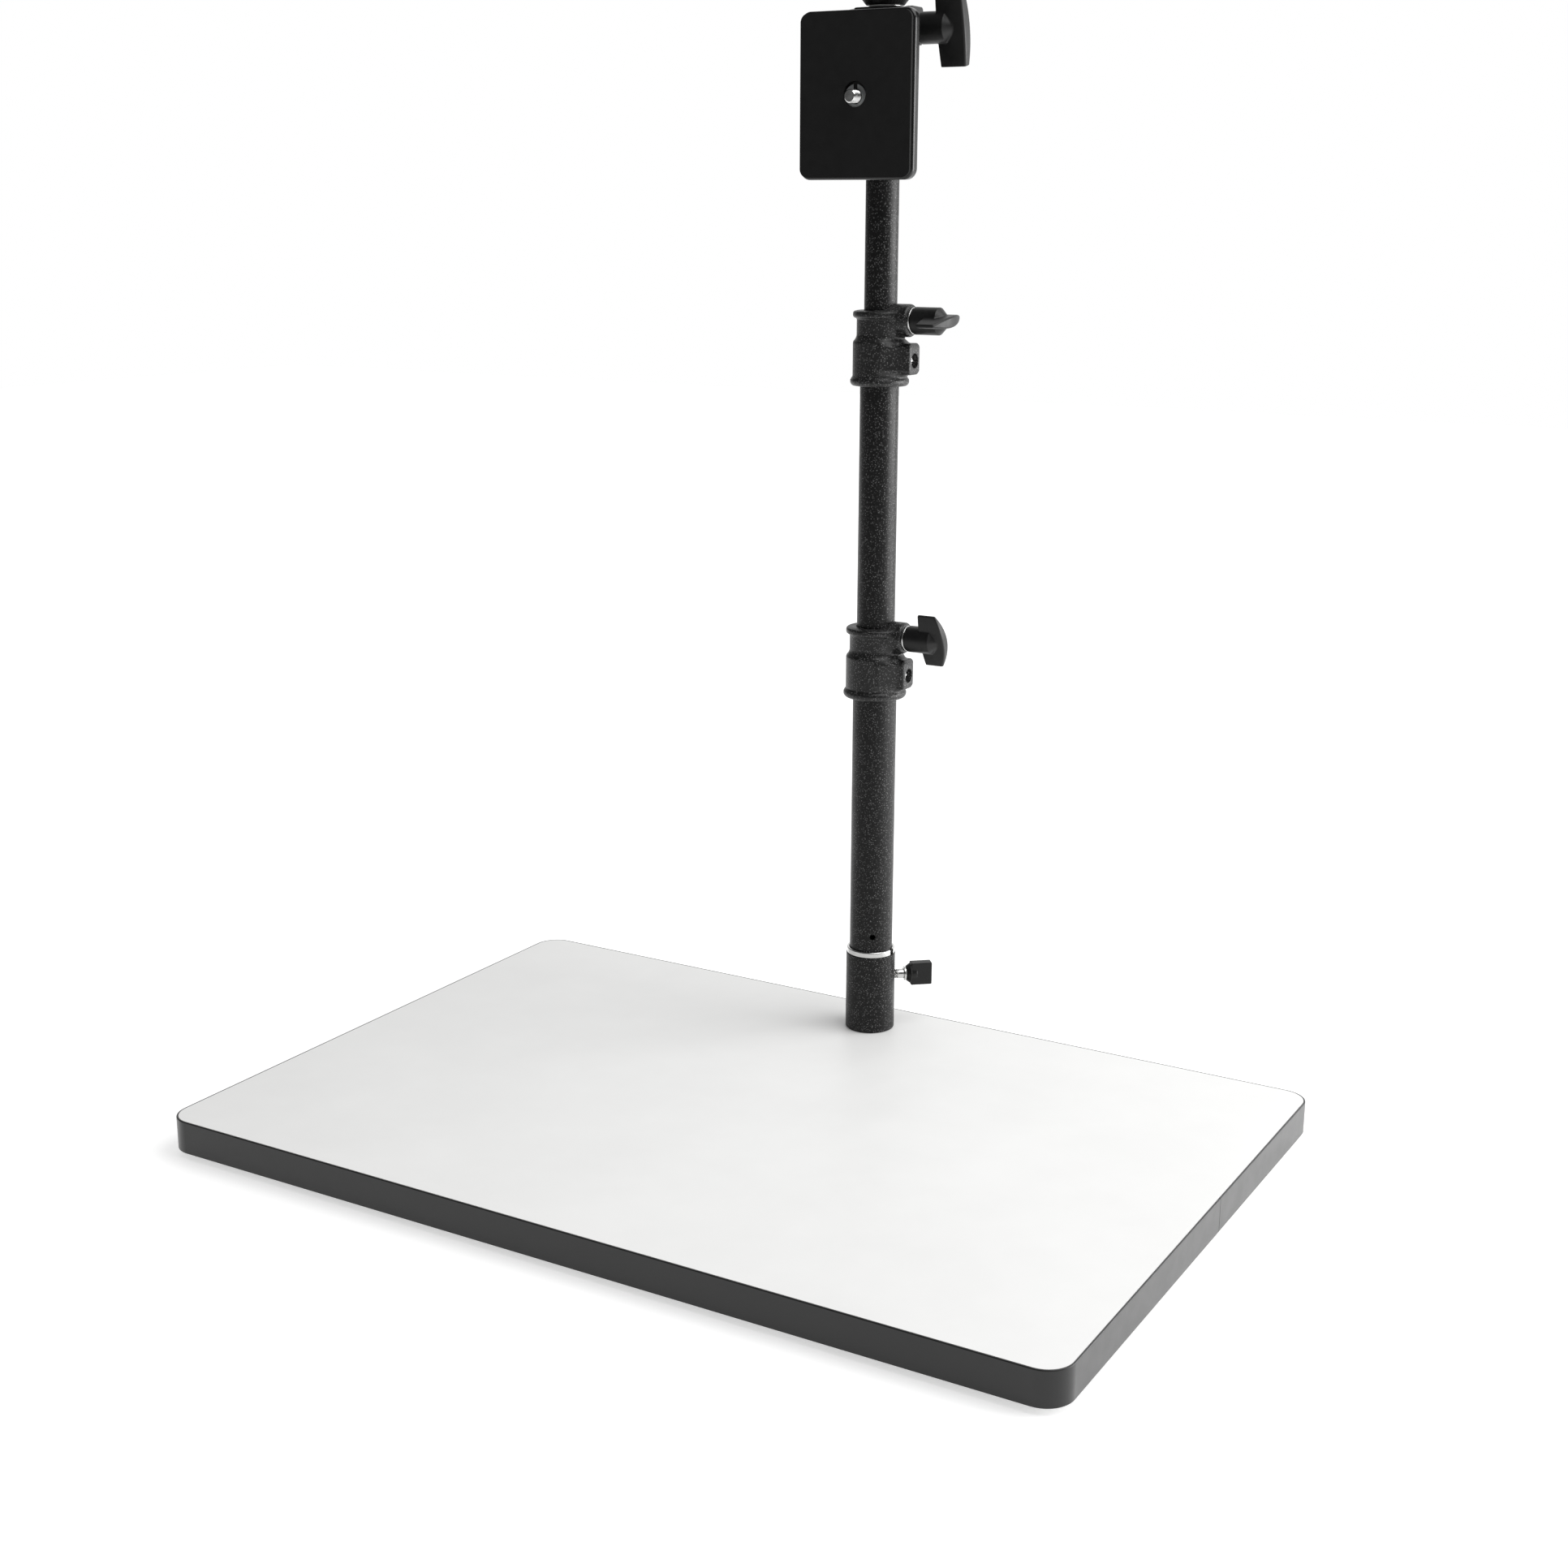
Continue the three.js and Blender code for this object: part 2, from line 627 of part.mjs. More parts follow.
// A T-knob along +X: a round collar, and a wing that is a lens in its end view.
function wingKnob(knob) {
  const collarRadius = knob.diameter / 2;
  const collarStart = knob.neckLength;
  const chamfer = knobChamfer;
  const collarEnd = knob.collarLength + collarRadius - knob.middleThickness / 2;
  const collarProfile = [
    [0, 0],
    [knob.neckDiameter / 2, 0],
    [knob.neckDiameter / 2, collarStart],
    [collarRadius - chamfer, collarStart],
    [collarRadius, collarStart + chamfer],
    [collarRadius, knob.collarLength],
    [knob.middleThickness / 2, collarEnd],
    [0, collarEnd],
  ];
  const collar = alongX(turned(collarProfile, smallSides));
  const halfLength = knob.wingLength / 2;
  const side = new THREE.Shape();
  side.moveTo(knob.wingStart, -halfLength);
  side.lineTo(knob.wingEnd, -halfLength);
  side.quadraticCurveTo(2 * knob.wingCrown - knob.wingEnd, 0, knob.wingEnd, halfLength);
  side.lineTo(knob.wingStart, halfLength);
  const slab = extruded(side, 2 * knob.middleThickness).translate(0, 0, -knob.middleThickness);
  slab.rotateX(Math.PI / 2);
  const halfTip = knob.tipThickness / 2;
  const bulge = knob.middleThickness - halfTip;
  const lens = new THREE.Shape();
  lens.moveTo(halfTip, -halfLength);
  lens.quadraticCurveTo(bulge, 0, halfTip, halfLength);
  lens.lineTo(-halfTip, halfLength);
  lens.quadraticCurveTo(-bulge, 0, -halfTip, -halfLength);
  const lensBar = extruded(lens, knob.wingCrown + overrun).rotateZ(Math.PI / 2).rotateY(Math.PI / 2);
  const wing = common(slab, lensBar);
  const bore = alongX(bar(studDiameter / 2 + screwGap, -overrun, studIntoKnob + seatGap));
  return cut(join(collar, wing), bore);
}

const clampKnob = {
  diameter: clampKnobDiameter,
  neckDiameter: clampKnobNeckDiameter,
  neckLength: clampKnobNeckLength,
  collarLength: clampKnobCollarLength,
  wingStart: clampWingStart,
  wingEnd: clampWingEnd,
  wingCrown: clampWingCrown,
  wingLength: clampWingLength,
  middleThickness: clampWingMiddleThickness,
  tipThickness: clampWingTipThickness,
};

const tiltKnob = {
  diameter: tiltKnobDiameter,
  neckDiameter: tiltKnobNeckDiameter,
  neckLength: tiltKnobNeckLength,
  collarLength: tiltKnobCollarLength,
  wingStart: tiltWingStart,
  wingEnd: tiltWingEnd,
  wingCrown: tiltWingCrown,
  wingLength: tiltWingLength,
  middleThickness: tiltWingMiddleThickness,
  tipThickness: tiltWingTipThickness,
};

// A cross-slotted pan-head screw along +X whose head ends at the given place.
function panScrew(diameter, headDiameter, headHeight, tip, headEnd) {
  const headStart = headEnd - headHeight;
  const profile = [
    [0, tip],
    [diameter / 2, tip],
    [diameter / 2, headStart],
    [headDiameter / 2, headStart],
    [headDiameter / 2, headEnd - headHeight / 3],
    [headDiameter / 3, headEnd],
    [0, headEnd],
  ];
  const slotReach = 2 * crossSlotDepth;
  const slotAcross = box(slotReach, crossSlotLength, crossSlotWidth).translate(headEnd, 0, 0);
  const slotUp = box(slotReach, crossSlotWidth, crossSlotLength).translate(headEnd, 0, 0);
  return cut(alongX(turned(profile, smallSides)), slotAcross, slotUp);
}

function addClamp(column, name, base, outerTube, innerTube, knobTurn) {
  const clamp = addGroup(column, 0, 0, base);
  addPart(clamp, `${name}_collar`, collarBody(outerTube, innerTube), blackMoulding);

  const screwTip = outerTube - tubeWall + collarScrewTipGap;
  const screwHeadEnd = screwBossFace - collarScrewHeadSink;
  const screw = panScrew(
    collarScrewDiameter, collarScrewHeadDiameter, collarScrewHeadHeight, screwTip, screwHeadEnd);
  const screwMesh = addPart(clamp, `${name}_collar_screw`, screw, brightMetal);
  screwMesh.position.z = screwAxisHeight;

  const knobAxis = addGroup(clamp, 0, 0, knobAxisHeight);
  const nutBottom = nutStart(innerTube);
  const nutTop = nutBottom + nutThickness;
  const nutBar = hexBar(nutAcrossFlats, nutBottom, nutTop);
  const nutHole = bar(studDiameter / 2 + screwGap, nutBottom - overrun, nutTop + overrun);
  addPart(knobAxis, `${name}_clamp_nut`, alongX(cut(nutBar, nutHole)), zincMetal);

  const shoeStart = innerTube + slideGap;
  const shoeEnd = shoeStart + shoeThickness;
  const shoe = alongX(bar(shoeDiameter / 2, shoeStart, shoeEnd));
  addPart(knobAxis, `${name}_clamp_shoe`, shoe, nylon);

  const washerStart = knobBossFace + seatGap;
  const washerEnd = washerStart + clampWasherThickness;
  const washerHole = studDiameter / 2 + screwGap;
  const washer = pipe(washerHole, clampWasherDiameter / 2, washerStart, washerEnd, smallSides);
  addPart(knobAxis, `${name}_clamp_washer`, alongX(washer), brightMetal);

  const knobStart = washerEnd + seatGap;
  const stud = alongX(bar(studDiameter / 2, shoeEnd + seatGap, knobStart + studIntoKnob));
  addPart(knobAxis, `${name}_clamp_stud`, stud, zincMetal);

  const knobMesh = addPart(knobAxis, `${name}_clamp_knob`, wingKnob(clampKnob), blackKnob);
  knobMesh.position.x = knobStart;
  knobMesh.rotation.x = knobTurn;
}

// Head, on the plug in the top of the upper tube; heights here are above the tube's top end
const shoulderTop = spigotShoulderHeight + seatGap;
const panWasherBottom = shoulderTop + seatGap;
const bodyBottom = panWasherBottom + panWasherThickness + seatGap;
const bodyTop = tiltAxisAboveTube + headBodyTop;
const knobWasherBottom = bodyTop + seatGap;
const panKnobBottom = knobWasherBottom + panKnobWasherThickness + seatGap;
const postTop = panKnobBottom + panKnobBoreDepth - seatGap;
const postRadius = panPostDiameter / 2;
const earInner = headBodyWidth / 2 + earGap;
const earOuter = earInner + earThickness;

function addSpigot(head) {
  const plugRadius = upperTubeRadius - tubeWall - seatGap;
  const profile = [
    [0, -spigotPlugDepth],
    [plugRadius, -spigotPlugDepth],
    [plugRadius, seatGap],
    [upperTubeRadius, seatGap],
    [upperTubeRadius, shoulderTop],
    [postRadius, shoulderTop],
    [postRadius, postTop],
    [0, postTop],
  ];
  const screwRoom = alongX(bar(spigotScrewDiameter / 2 + screwGap, 0, upperTubeDiameter));
  screwRoom.translate(0, 0, -spigotScrewDrop);
  addPart(head, 'head_spigot', cut(turned(profile), screwRoom), zincMetal);

  const headStart = upperTubeRadius + 2 * seatGap;
  const headRadius = spigotScrewHeadDiameter / 2;
  const shankTip = upperTubeRadius - spigotScrewDepth;
  const domeEnd = headStart + spigotScrewHeadReach;
  const screwProfile = [
    [0, shankTip],
    [spigotScrewDiameter / 2, shankTip],
    [spigotScrewDiameter / 2, headStart],
    [headRadius, headStart],
    [headRadius, headStart + spigotScrewHeadReach / 3],
    [headRadius - spigotScrewHeadReach / 3, headStart + 2 * spigotScrewHeadReach / 3],
    [headRadius / 2, domeEnd],
    [0, domeEnd],
  ];
  const spigotScrew = alongX(turned(screwProfile, smallSides));
  addPart(head, 'spigot_screw', spigotScrew, blackPowder).position.z = -spigotScrewDrop;
}

function addHeadBody(head) {
  const washerInner = postRadius + screwGap;
  const panWasherTop = panWasherBottom + panWasherThickness;
  const panWasher = pipe(washerInner, panWasherDiameter / 2, panWasherBottom, panWasherTop);
  addPart(head, 'pan_washer', panWasher, nylon);

  const baseRadius = headBodyBaseDiameter / 2;
  const baseTop = bodyBottom + headBodyBaseHeight;
  const block = plate(headBodyWidth, headBodyDepth, headBodyEdge, baseTop, bodyTop - baseTop);
  const base = turned([
    [0, bodyBottom],
    [baseRadius - headBodyBaseTaper, bodyBottom],
    [baseRadius, bodyBottom + headBodyBaseTaper],
    [baseRadius, baseTop + headBodyBaseTaper],
    [0, baseTop + headBodyBaseTaper],
  ]);
  const blockCore = common(join(base, block), plate(
    headBodyWidth, headBodyDepth, headBodyEdge, bodyBottom - overrun, bodyTop + 2 * overrun));
  const postHole = bar(postRadius + screwGap, bodyBottom - overrun, bodyTop + overrun);
  const holeStart = headBodyWidth / 2 - trunnionDepth;
  const studHole = alongX(bar(studDiameter / 2 + screwGap, holeStart, headBodyWidth));
  studHole.translate(0, 0, tiltAxisAboveTube);
  const pivotHole = studHole.clone().rotateZ(Math.PI);
  addPart(head, 'head_body', cut(blockCore, postHole, studHole, pivotHole), blackEnamel);

  const knobWasherTop = knobWasherBottom + panKnobWasherThickness;
  const knobWasher = pipe(washerInner, panKnobWasherDiameter / 2, knobWasherBottom, knobWasherTop);
  addPart(head, 'pan_knob_washer', knobWasher, brightMetal);

  const knobProfile = [
    [0, 0],
    [panKnobNeckDiameter / 2, 0],
    [panKnobDiameter / 2, panKnobFlareTop],
    [panKnobDiameter / 2, panKnobGripTop],
    [(panKnobDiameter + panKnobCrownDiameter) / 4, (panKnobGripTop + panKnobHeight) / 2],
    [panKnobCrownDiameter / 2, panKnobHeight],
    [0, panKnobHeight],
  ];
  const knobBore = bar(postRadius + screwGap, -overrun, panKnobBoreDepth);
  const knob = cut(turned(knobProfile), knobBore);
  addPart(head, 'pan_lock_knob', knob, blackKnob).position.z = panKnobBottom;
}

// Camera platform: a plate in front of the column with two ears that turn on the tilt axis
function addPlatform(head) {
  const tilt = addGroup(head, 0, 0, tiltAxisAboveTube);
  const backOfPlate = platformThickness - platformFront;
  const middle = platformTop - platformHeight / 2;
  const sheet = plate(platformWidth, platformHeight, platformCorner, 0, platformThickness);
  sheet.rotateX(Math.PI / 2).translate(0, backOfPlate, middle);
  const earFront = backOfPlate - platformThickness / 2;
  const earShape = new THREE.Shape();
  earShape.moveTo(earFront, -earBelow);
  earShape.lineTo(earBack - earCorner, -earBelow);
  earShape.absarc(earBack - earCorner, earCorner - earBelow, earCorner, -Math.PI / 2, 0, false);
  earShape.lineTo(earBack, earAbove - earCorner);
  earShape.absarc(earBack - earCorner, earAbove - earCorner, earCorner, 0, Math.PI / 2, false);
  earShape.lineTo(earSlopeStart, earAbove);
  earShape.lineTo(earFront, earAtPlate);
  const ear = extruded(earShape, earThickness).rotateZ(Math.PI / 2).rotateY(Math.PI / 2);
  const rightEar = ear.clone().translate(earInner, 0, 0);
  const leftEar = ear.clone().translate(-earOuter, 0, 0);
  const pivotHole = alongX(bar(studDiameter / 2 + screwGap, -platformWidth, platformWidth));
  const screwHole = bar(cameraScrewDiameter / 2 + screwGap, -platformWidth, platformWidth);
  screwHole.rotateX(Math.PI / 2).translate(0, 0, -cameraScrewDrop);
  const bracket = cut(join(sheet, rightEar, leftEar), pivotHole, screwHole);
  addPart(tilt, 'tilt_bracket', bracket, blackEnamel);

  const padWidth = platformWidth - 2 * padInset;
  const padHeight = platformHeight - 2 * padInset;
  const pad = plate(padWidth, padHeight, platformCorner - padInset, 0, padThickness);
  pad.rotateX(Math.PI / 2).translate(0, -platformFront, middle);
  const clipRoom = bar(cameraClipDiameter / 2 + 2 * screwGap, 0, platformWidth);
  clipRoom.rotateX(Math.PI / 2).translate(0, 0, -cameraScrewDrop);
  addPart(tilt, 'platform_pad', cut(pad, clipRoom), rubber);

  const screwGroup = addGroup(tilt, 0, 0, -cameraScrewDrop);
  const headFront = -backOfPlate - cameraScrewHeadGap;
  const headBack = headFront - cameraScrewHeadHeight;
  const threadEnd = platformFront + padThickness + cameraScrewProud;
  const screwProfile = [
    [0, headBack],
    [cameraScrewHeadDiameter / 2, headBack],
    [cameraScrewHeadDiameter / 2, headFront],
    [cameraScrewDiameter / 2, headFront],
    [cameraScrewDiameter / 2, threadEnd - cameraScrewHeadGap],
    [cameraScrewDiameter / 2 - cameraScrewHeadGap, threadEnd],
    [0, threadEnd],
  ];
  const cameraScrew = turned(screwProfile, smallSides).rotateX(Math.PI / 2);
  addPart(screwGroup, 'camera_screw', cameraScrew, brightMetal);
  const clipStart = platformFront + seatGap;
  const clipInner = cameraScrewDiameter / 2 + screwGap;
  const clipEnd = clipStart + cameraClipThickness;
  const clip = pipe(clipInner, cameraClipDiameter / 2, clipStart, clipEnd, smallSides);
  addPart(screwGroup, 'camera_screw_clip', clip.rotateX(Math.PI / 2), zincMetal);

  const pivotHeadStart = earOuter + seatGap;
  const pivotHeadEnd = pivotHeadStart + pivotScrewHeadHeight;
  const pivotTip = headBodyWidth / 2 - trunnionDepth + seatGap;
  const pivotScrew = panScrew(
    pivotScrewDiameter, pivotScrewHeadDiameter, pivotScrewHeadHeight, pivotTip, pivotHeadEnd);
  addPart(tilt, 'tilt_pivot_screw', pivotScrew.rotateZ(Math.PI), zincMetal);
}

function addTiltKnob(head) {
  const axis = addGroup(head, 0, 0, tiltAxisAboveTube);
  const washerStart = earOuter + seatGap;
  const washerEnd = washerStart + tiltWasherThickness;
  const washerHole = studDiameter / 2 + screwGap;
  const washer = pipe(washerHole, tiltWasherDiameter / 2, washerStart, washerEnd, smallSides);
  addPart(axis, 'tilt_washer', alongX(washer), brightMetal);
  const knobStart = washerEnd + seatGap;
  const studTip = headBodyWidth / 2 - trunnionDepth + seatGap;
  const stud = alongX(bar(studDiameter / 2, studTip, knobStart + studIntoKnob));
  addPart(axis, 'tilt_stud', stud, zincMetal);
  const knobMesh = addPart(axis, 'tilt_knob', wingKnob(tiltKnob), blackKnob);
  knobMesh.position.x = knobStart;
  knobMesh.rotation.x = tiltKnobTurn;
}

addBoard();
addFeet();
const column = addGroup(stand, 0, columnY, 0);
addSocket(column);
addSocketScrew(column);
addTubes(column);
addClamp(column, 'lower', lowerCollarBase, lowerTubeRadius, middleTubeRadius, lowerKnobTurn);
addClamp(column, 'upper', upperCollarBase, middleTubeRadius, upperTubeRadius, upperKnobTurn);
const head = addGroup(column, 0, 0, upperTubeTop);
addSpigot(head);
addHeadBody(head);
addPlatform(head);
addTiltKnob(head);

export default stand;
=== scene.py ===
# The looks of a desktop copy stand: a white laminated baseboard with a black edge band, and a
# telescopic black column with moulded clamps that carries a pan and tilt head.
# Lengths are in millimetres unless a name says otherwise; a finished piece is scaled to metres.
import itertools
import json
import math

import bpy
import bmesh
import numpy as np
from mathutils import Matrix, Vector


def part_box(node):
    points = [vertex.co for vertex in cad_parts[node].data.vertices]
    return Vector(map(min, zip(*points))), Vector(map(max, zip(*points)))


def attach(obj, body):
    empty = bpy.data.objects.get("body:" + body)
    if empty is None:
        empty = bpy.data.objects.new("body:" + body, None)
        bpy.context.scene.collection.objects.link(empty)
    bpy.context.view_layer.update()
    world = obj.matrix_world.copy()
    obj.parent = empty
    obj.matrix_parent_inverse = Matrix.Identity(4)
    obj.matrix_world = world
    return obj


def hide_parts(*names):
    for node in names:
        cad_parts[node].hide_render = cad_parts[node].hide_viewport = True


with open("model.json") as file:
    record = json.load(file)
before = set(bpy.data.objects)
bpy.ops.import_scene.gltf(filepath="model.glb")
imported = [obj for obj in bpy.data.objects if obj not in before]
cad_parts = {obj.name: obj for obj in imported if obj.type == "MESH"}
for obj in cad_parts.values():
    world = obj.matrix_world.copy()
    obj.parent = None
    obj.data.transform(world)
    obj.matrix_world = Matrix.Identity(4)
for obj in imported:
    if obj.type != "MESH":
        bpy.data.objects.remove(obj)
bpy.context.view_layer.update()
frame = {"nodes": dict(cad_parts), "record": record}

bodies = frame["record"]["behaviour"]["bodies"]
body_of = {node: body for body, nodes in bodies.items() for node in nodes}
slot_of = {part["node"]: part["material_slot"] for part in frame["record"]["subparts"]}
MM = 0.001


# Places taken from the frame

def reach(node):
    """The lowest and the highest corner of a CAD node, in millimetres."""
    low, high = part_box(node)
    return np.array(low) / MM, np.array(high) / MM


def middle(node):
    low, high = reach(node)
    return (low + high) / 2


def radius_of(node):
    """The radius of an upright round node."""
    low, high = reach(node)
    return (high[0] - low[0]) / 2


column_y = middle("lower_tube")[1]
lower_radius = radius_of("lower_tube")
middle_radius = radius_of("middle_tube")
upper_radius = radius_of("upper_tube")
board_top = reach("top_laminate")[1][2]
tube_top = reach("upper_tube")[1][2]
tilt_z = middle("tilt_washer")[2]

# Running clearances
SLIDE_GAP = 0.15
SEAT_GAP = 0.1
SCREW_GAP = 0.15

# How far a cut runs past its piece, and how far joined forms run into each other
OVERRUN = 5
LAP = 1

# Edges that several pieces share
BORE_EDGE = 0.1
HOLE_MOUTH_EDGE = 0.3
WASHER_EDGE = 0.3
THIN_WASHER_EDGE = 0.25
SCREW_TIP_EDGE = 0.2

# Baseboard
BOARD_CORNER = 12.7
BAND_THICKNESS = 1
BAND_EDGE = 0.55
SHEET_EDGE = 0.15
BAND_SEAM_GAP = 0.3
BAND_SEAM_Y = 20.1
RECESS_RADIUS = 11
FOOT_EDGE = 0.9
FOOT_ARRIS = 0.3
FOOT_DIMPLE_RADIUS = 3.2
FOOT_DIMPLE_DEPTH = 1

# Socket, its bolt and its thumbscrew
SOCKET_FLOOR = 6
SOCKET_FLOOR_ROUND = 0.5
SOCKET_FOOT_ROUND = 0.8
SOCKET_EDGE = 0.35
BUSH_SKIRT_WALL = 0.5
BUSH_LIP_EDGE = 0.3
BUSH_LIP_ROUND = 0.9
BUSH_MOUTH_ROUND = 0.25
BUSH_SLOT = 3
BOLT_RADIUS = 4
BOLT_TIP_ROUND = 0.4
BOLT_HEAD_EDGE = 0.2
BOLT_FILLET = 0.3
BOLT_CHAMFER_RUN = 1.7
BOLT_CHAMFER_EASE = 2
SCREW_HEADING = math.radians(40)
SOCKET_SCREW_RADIUS = 2.5
SOCKET_SCREW_PITCH = 0.8
SOCKET_SCREW_TIP = 12.45
SOCKET_THREAD_END = 14.6
SOCKET_SCREW_END = 24
FERRULE_RADIUS = 3.7
FERRULE_START = 17.6
FERRULE_END = 18.8
WING_START = 18.9
WING_COLLAR_LENGTH = 2.4
WING_COLLAR_RADIUS = 5.4
WING_CORE_RADIUS = 3.2
WING_CORE_END = 24.7
WING_LENGTH = 11.2
WING_HEIGHT = 12
WING_THICKNESS = 5.2
WING_EDGE = 0.55
WING_FILLET = 0.3

# Column tubes
TUBE_WALL = 1.2
TUBE_END_ROUND = 0.35
VENT_RADIUS = 1.3
HOLE_SINK = 0.35
HOLE_ROUND = 0.2
VENT_HEIGHT = 71.1
VENT_HEADING = math.radians(-58)

# Clamp collars; heights are above the collar's base
COLLAR_SHOULDER = 19.2
FLANGE_HEIGHT = 3.7
FLANGE_LIP = 1.1
FLANGE_ROUND = 1.6
LOWER_WALL = 3.75
STEP_LOW = 20.6
STEP_HIGH = 22.7
UPPER_WALL = 3.5
RIM_LOW = 31.9
RIM_HEIGHT = 3.4
RIM_LIP = 1.85
RIM_ROUND = 1.3
KNOB_BOSS_RADIUS = 7.8
KNOB_BOSS_ROUND = 1.5
KNOB_BOSS_FACE = 17.4
KNOB_AXIS = 31
SCREW_BOSS_WIDTH = 10
SCREW_BOSS_HEIGHT = 15
SCREW_BOSS_MIDDLE = 12.9
SCREW_BOSS_FACE = 18.5
SCREW_BOSS_CORNER = 1.9
SCREW_AXIS = 12.1
COLLAR_FILLET = 0.9
BOSS_FILLET = 2.6
COLLAR_EDGE = 0.45
STUD_RADIUS = 3
STUD_PITCH = 1
NUT_ACROSS = 10
NUT_POCKET = 6.8
COLLAR_SCREW_RADIUS = 2
COLLAR_SCREW_HEAD_RADIUS = 3.3
COLLAR_SCREW_HEAD_HEIGHT = 2.2
COLLAR_SCREW_SINK = 1.3
STUD_HOLE_EDGE = 0.2

# Cross-head screws
SCREW_HEAD_EDGE = 0.35
DOME_RADIUS_SHARE = 1.6
DOME_FALL_SHARE = 0.9
CROSS_LENGTH = 4
CROSS_WIDTH = 1
CROSS_DEPTH = 1.3
CROSS_SLOPE = 0.35
CROSS_EDGE = 0.1

# T-knobs: a neck and a round collar on the axis, and a wing across it that is thickest in its middle
CLAMP_KNOB = dict(neck_radius=6, neck_length=0.5, radius=6.55, collar_length=13.4, wing_start=7.5,
                  wing_end=16.9, crown=20.4, length=28.6, middle=5.4, tip=1.4)
TILT_KNOB = dict(neck_radius=5, neck_length=2.8, radius=7.2, collar_length=16.1, wing_start=11.7,
                 wing_end=24.5, crown=25.8, length=35, middle=6.6, tip=4.2)
LOWER_KNOB_TURN = math.radians(22)
UPPER_KNOB_TURN = math.radians(97)
TILT_KNOB_TURN = math.radians(14)
KNOB_EDGE = 0.4
KNOB_CROWN_EDGE = 1
KNOB_FILLET = 0.6
KNOB_NECK_EDGE = 0.15
KNOB_NECK_FILLET = 0.1
KNOB_BORE_EDGE = 0.2
STUD_INTO_KNOB = 5.5

# Head
SPIGOT_PLUG_RADIUS = 6.7
SPIGOT_DEPTH = 33
SPIGOT_END_ROUND = 0.5
SPIGOT_SHOULDER = 3.1
SHOULDER_EDGE = 0.3
SHOULDER_ROUND = 0.4
POST_RADIUS = 4
POST_TOP = 50.7
POST_FILLET = 0.3
POST_END_ROUND = 0.6
SPIGOT_SCREW_DROP = 21
SPIGOT_SCREW_RADIUS = 2
SPIGOT_SCREW_HEAD_RADIUS = 5.5
SPIGOT_SCREW_HEAD = 4.4
SPIGOT_SCREW_RIM = 0.3
SPIGOT_SCREW_DOME = 3.6
SPIGOT_DIMPLE_DEPTH = 0.8
SPIGOT_DIMPLE_LIP = 0.4
SPIGOT_DIMPLE_ROUND = 0.2
HEAD_BASE_RADIUS = 11
HEAD_BASE_HEIGHT = 7
HEAD_BASE_TAPER = 3
HEAD_CONE_EASE = 1.2
HEAD_CORNER = 2.4
HEAD_EDGE = 0.7
HEAD_FILLET = 1.2
TRUNNION_DEPTH = 6.2
PAN_KNOB_NECK = 9
PAN_KNOB_RADIUS = 11.6
PAN_KNOB_CROWN = 6
PAN_KNOB_FLARE_TOP = 3.2
PAN_KNOB_GRIP_TOP = 6.4
PAN_KNOB_BORE = 6
PAN_KNOB_MOUTH_EDGE = 0.3
PAN_KNOB_NECK_EDGE = 0.4
PAN_KNOB_FLARE_ROUND = 0.6
PAN_KNOB_GRIP_ROUND = 1
PAN_KNOB_CROWN_ROUND = 0.8
PAN_KNOB_RIBS = 40
PAN_KNOB_RIB_DEPTH = 0.35
PAN_KNOB_RIB_RUNOUT = 1.4

# Camera platform
EAR_ABOVE = 10
EAR_BELOW = 7
EAR_THICKNESS = 3
EAR_CORNER = 1.5
EAR_EDGE = 0.5
EAR_SLOPE_START = -2
EAR_AT_PLATE = 5.5
PLATFORM_THICKNESS = 5.5
PLATFORM_TOP = 7
PLATFORM_CORNER = 5
PLATFORM_EDGE = 1.4
PLATFORM_FILLET = 1.2
PAD_INSET = 1
PIVOT_SCREW_HEAD_RADIUS = 5.5
PIVOT_SCREW_HEAD_HEIGHT = 2.6
CAMERA_SCREW_RADIUS = 3.175
CAMERA_SCREW_PITCH = 1.27
CAMERA_SCREW_DROP = 31
CAMERA_SCREW_HEAD_RADIUS = 10
CAMERA_SCREW_HEAD_HEIGHT = 3
CAMERA_SCREW_HEAD_ROUND = 0.5
CAMERA_SCREW_KNURLS = 60
CAMERA_SCREW_KNURL_DEPTH = 0.3
CAMERA_SCREW_RIM_SHARE = 0.98
CAMERA_SCREW_SLOT_WIDTH = 1.6
CAMERA_SCREW_SLOT_DEPTH = 1.2
CLIP_RADIUS = 5.5
CLIP_EDGE = 0.15
CLIP_GAP = 2

# How finely round pieces are meshed
ROUND_SIDES = 96
SOCKET_SIDES = 144
TUBE_SIDES = 128
HOLE_SIDES = 48
THREAD_SIDES = 32
RIB_SIDES = 8
KNURL_SIDES = 6
RINGS_PER_PITCH = 8
ARC_STEPS = 5
CORNER_STEPS = 16
SHARP_ANGLE = math.radians(32)
ON_AXIS = 1e-6

# How finely moulded forms are meshed: the sides of the grid's cells, the cells left round a form,
# and the share of the faces that is kept
WING_CELL = 0.3
BOLT_CELL = 0.4
COLLAR_CELL = 0.45
SCREW_CELL = 0.22
KNOB_CELL = 0.4
HEAD_CELL = 0.5
PLATFORM_CELL = 0.55
GRID_MARGIN = 1.5
KEPT_SHARE = 0.4
PLATFORM_KEPT_SHARE = 0.3

# How a form's points are set on its surface: the rounds of evening out, how far off the slope is
# measured, and the least that a slope and a length are taken to be
EVENING_ROUNDS = 4
PROBE_LENGTH = 0.02
LEAST_STEEPNESS = 0.2
TINY = 1e-9


# Making meshes

def new_piece(name, points, faces):
    """A mesh object from points in millimetres."""
    mesh = bpy.data.meshes.new(name)
    mesh.from_pydata(np.asarray(points, float).tolist(), [], [list(face) for face in faces])
    piece = bpy.data.objects.new(name, mesh)
    bpy.context.scene.collection.objects.link(piece)
    return piece


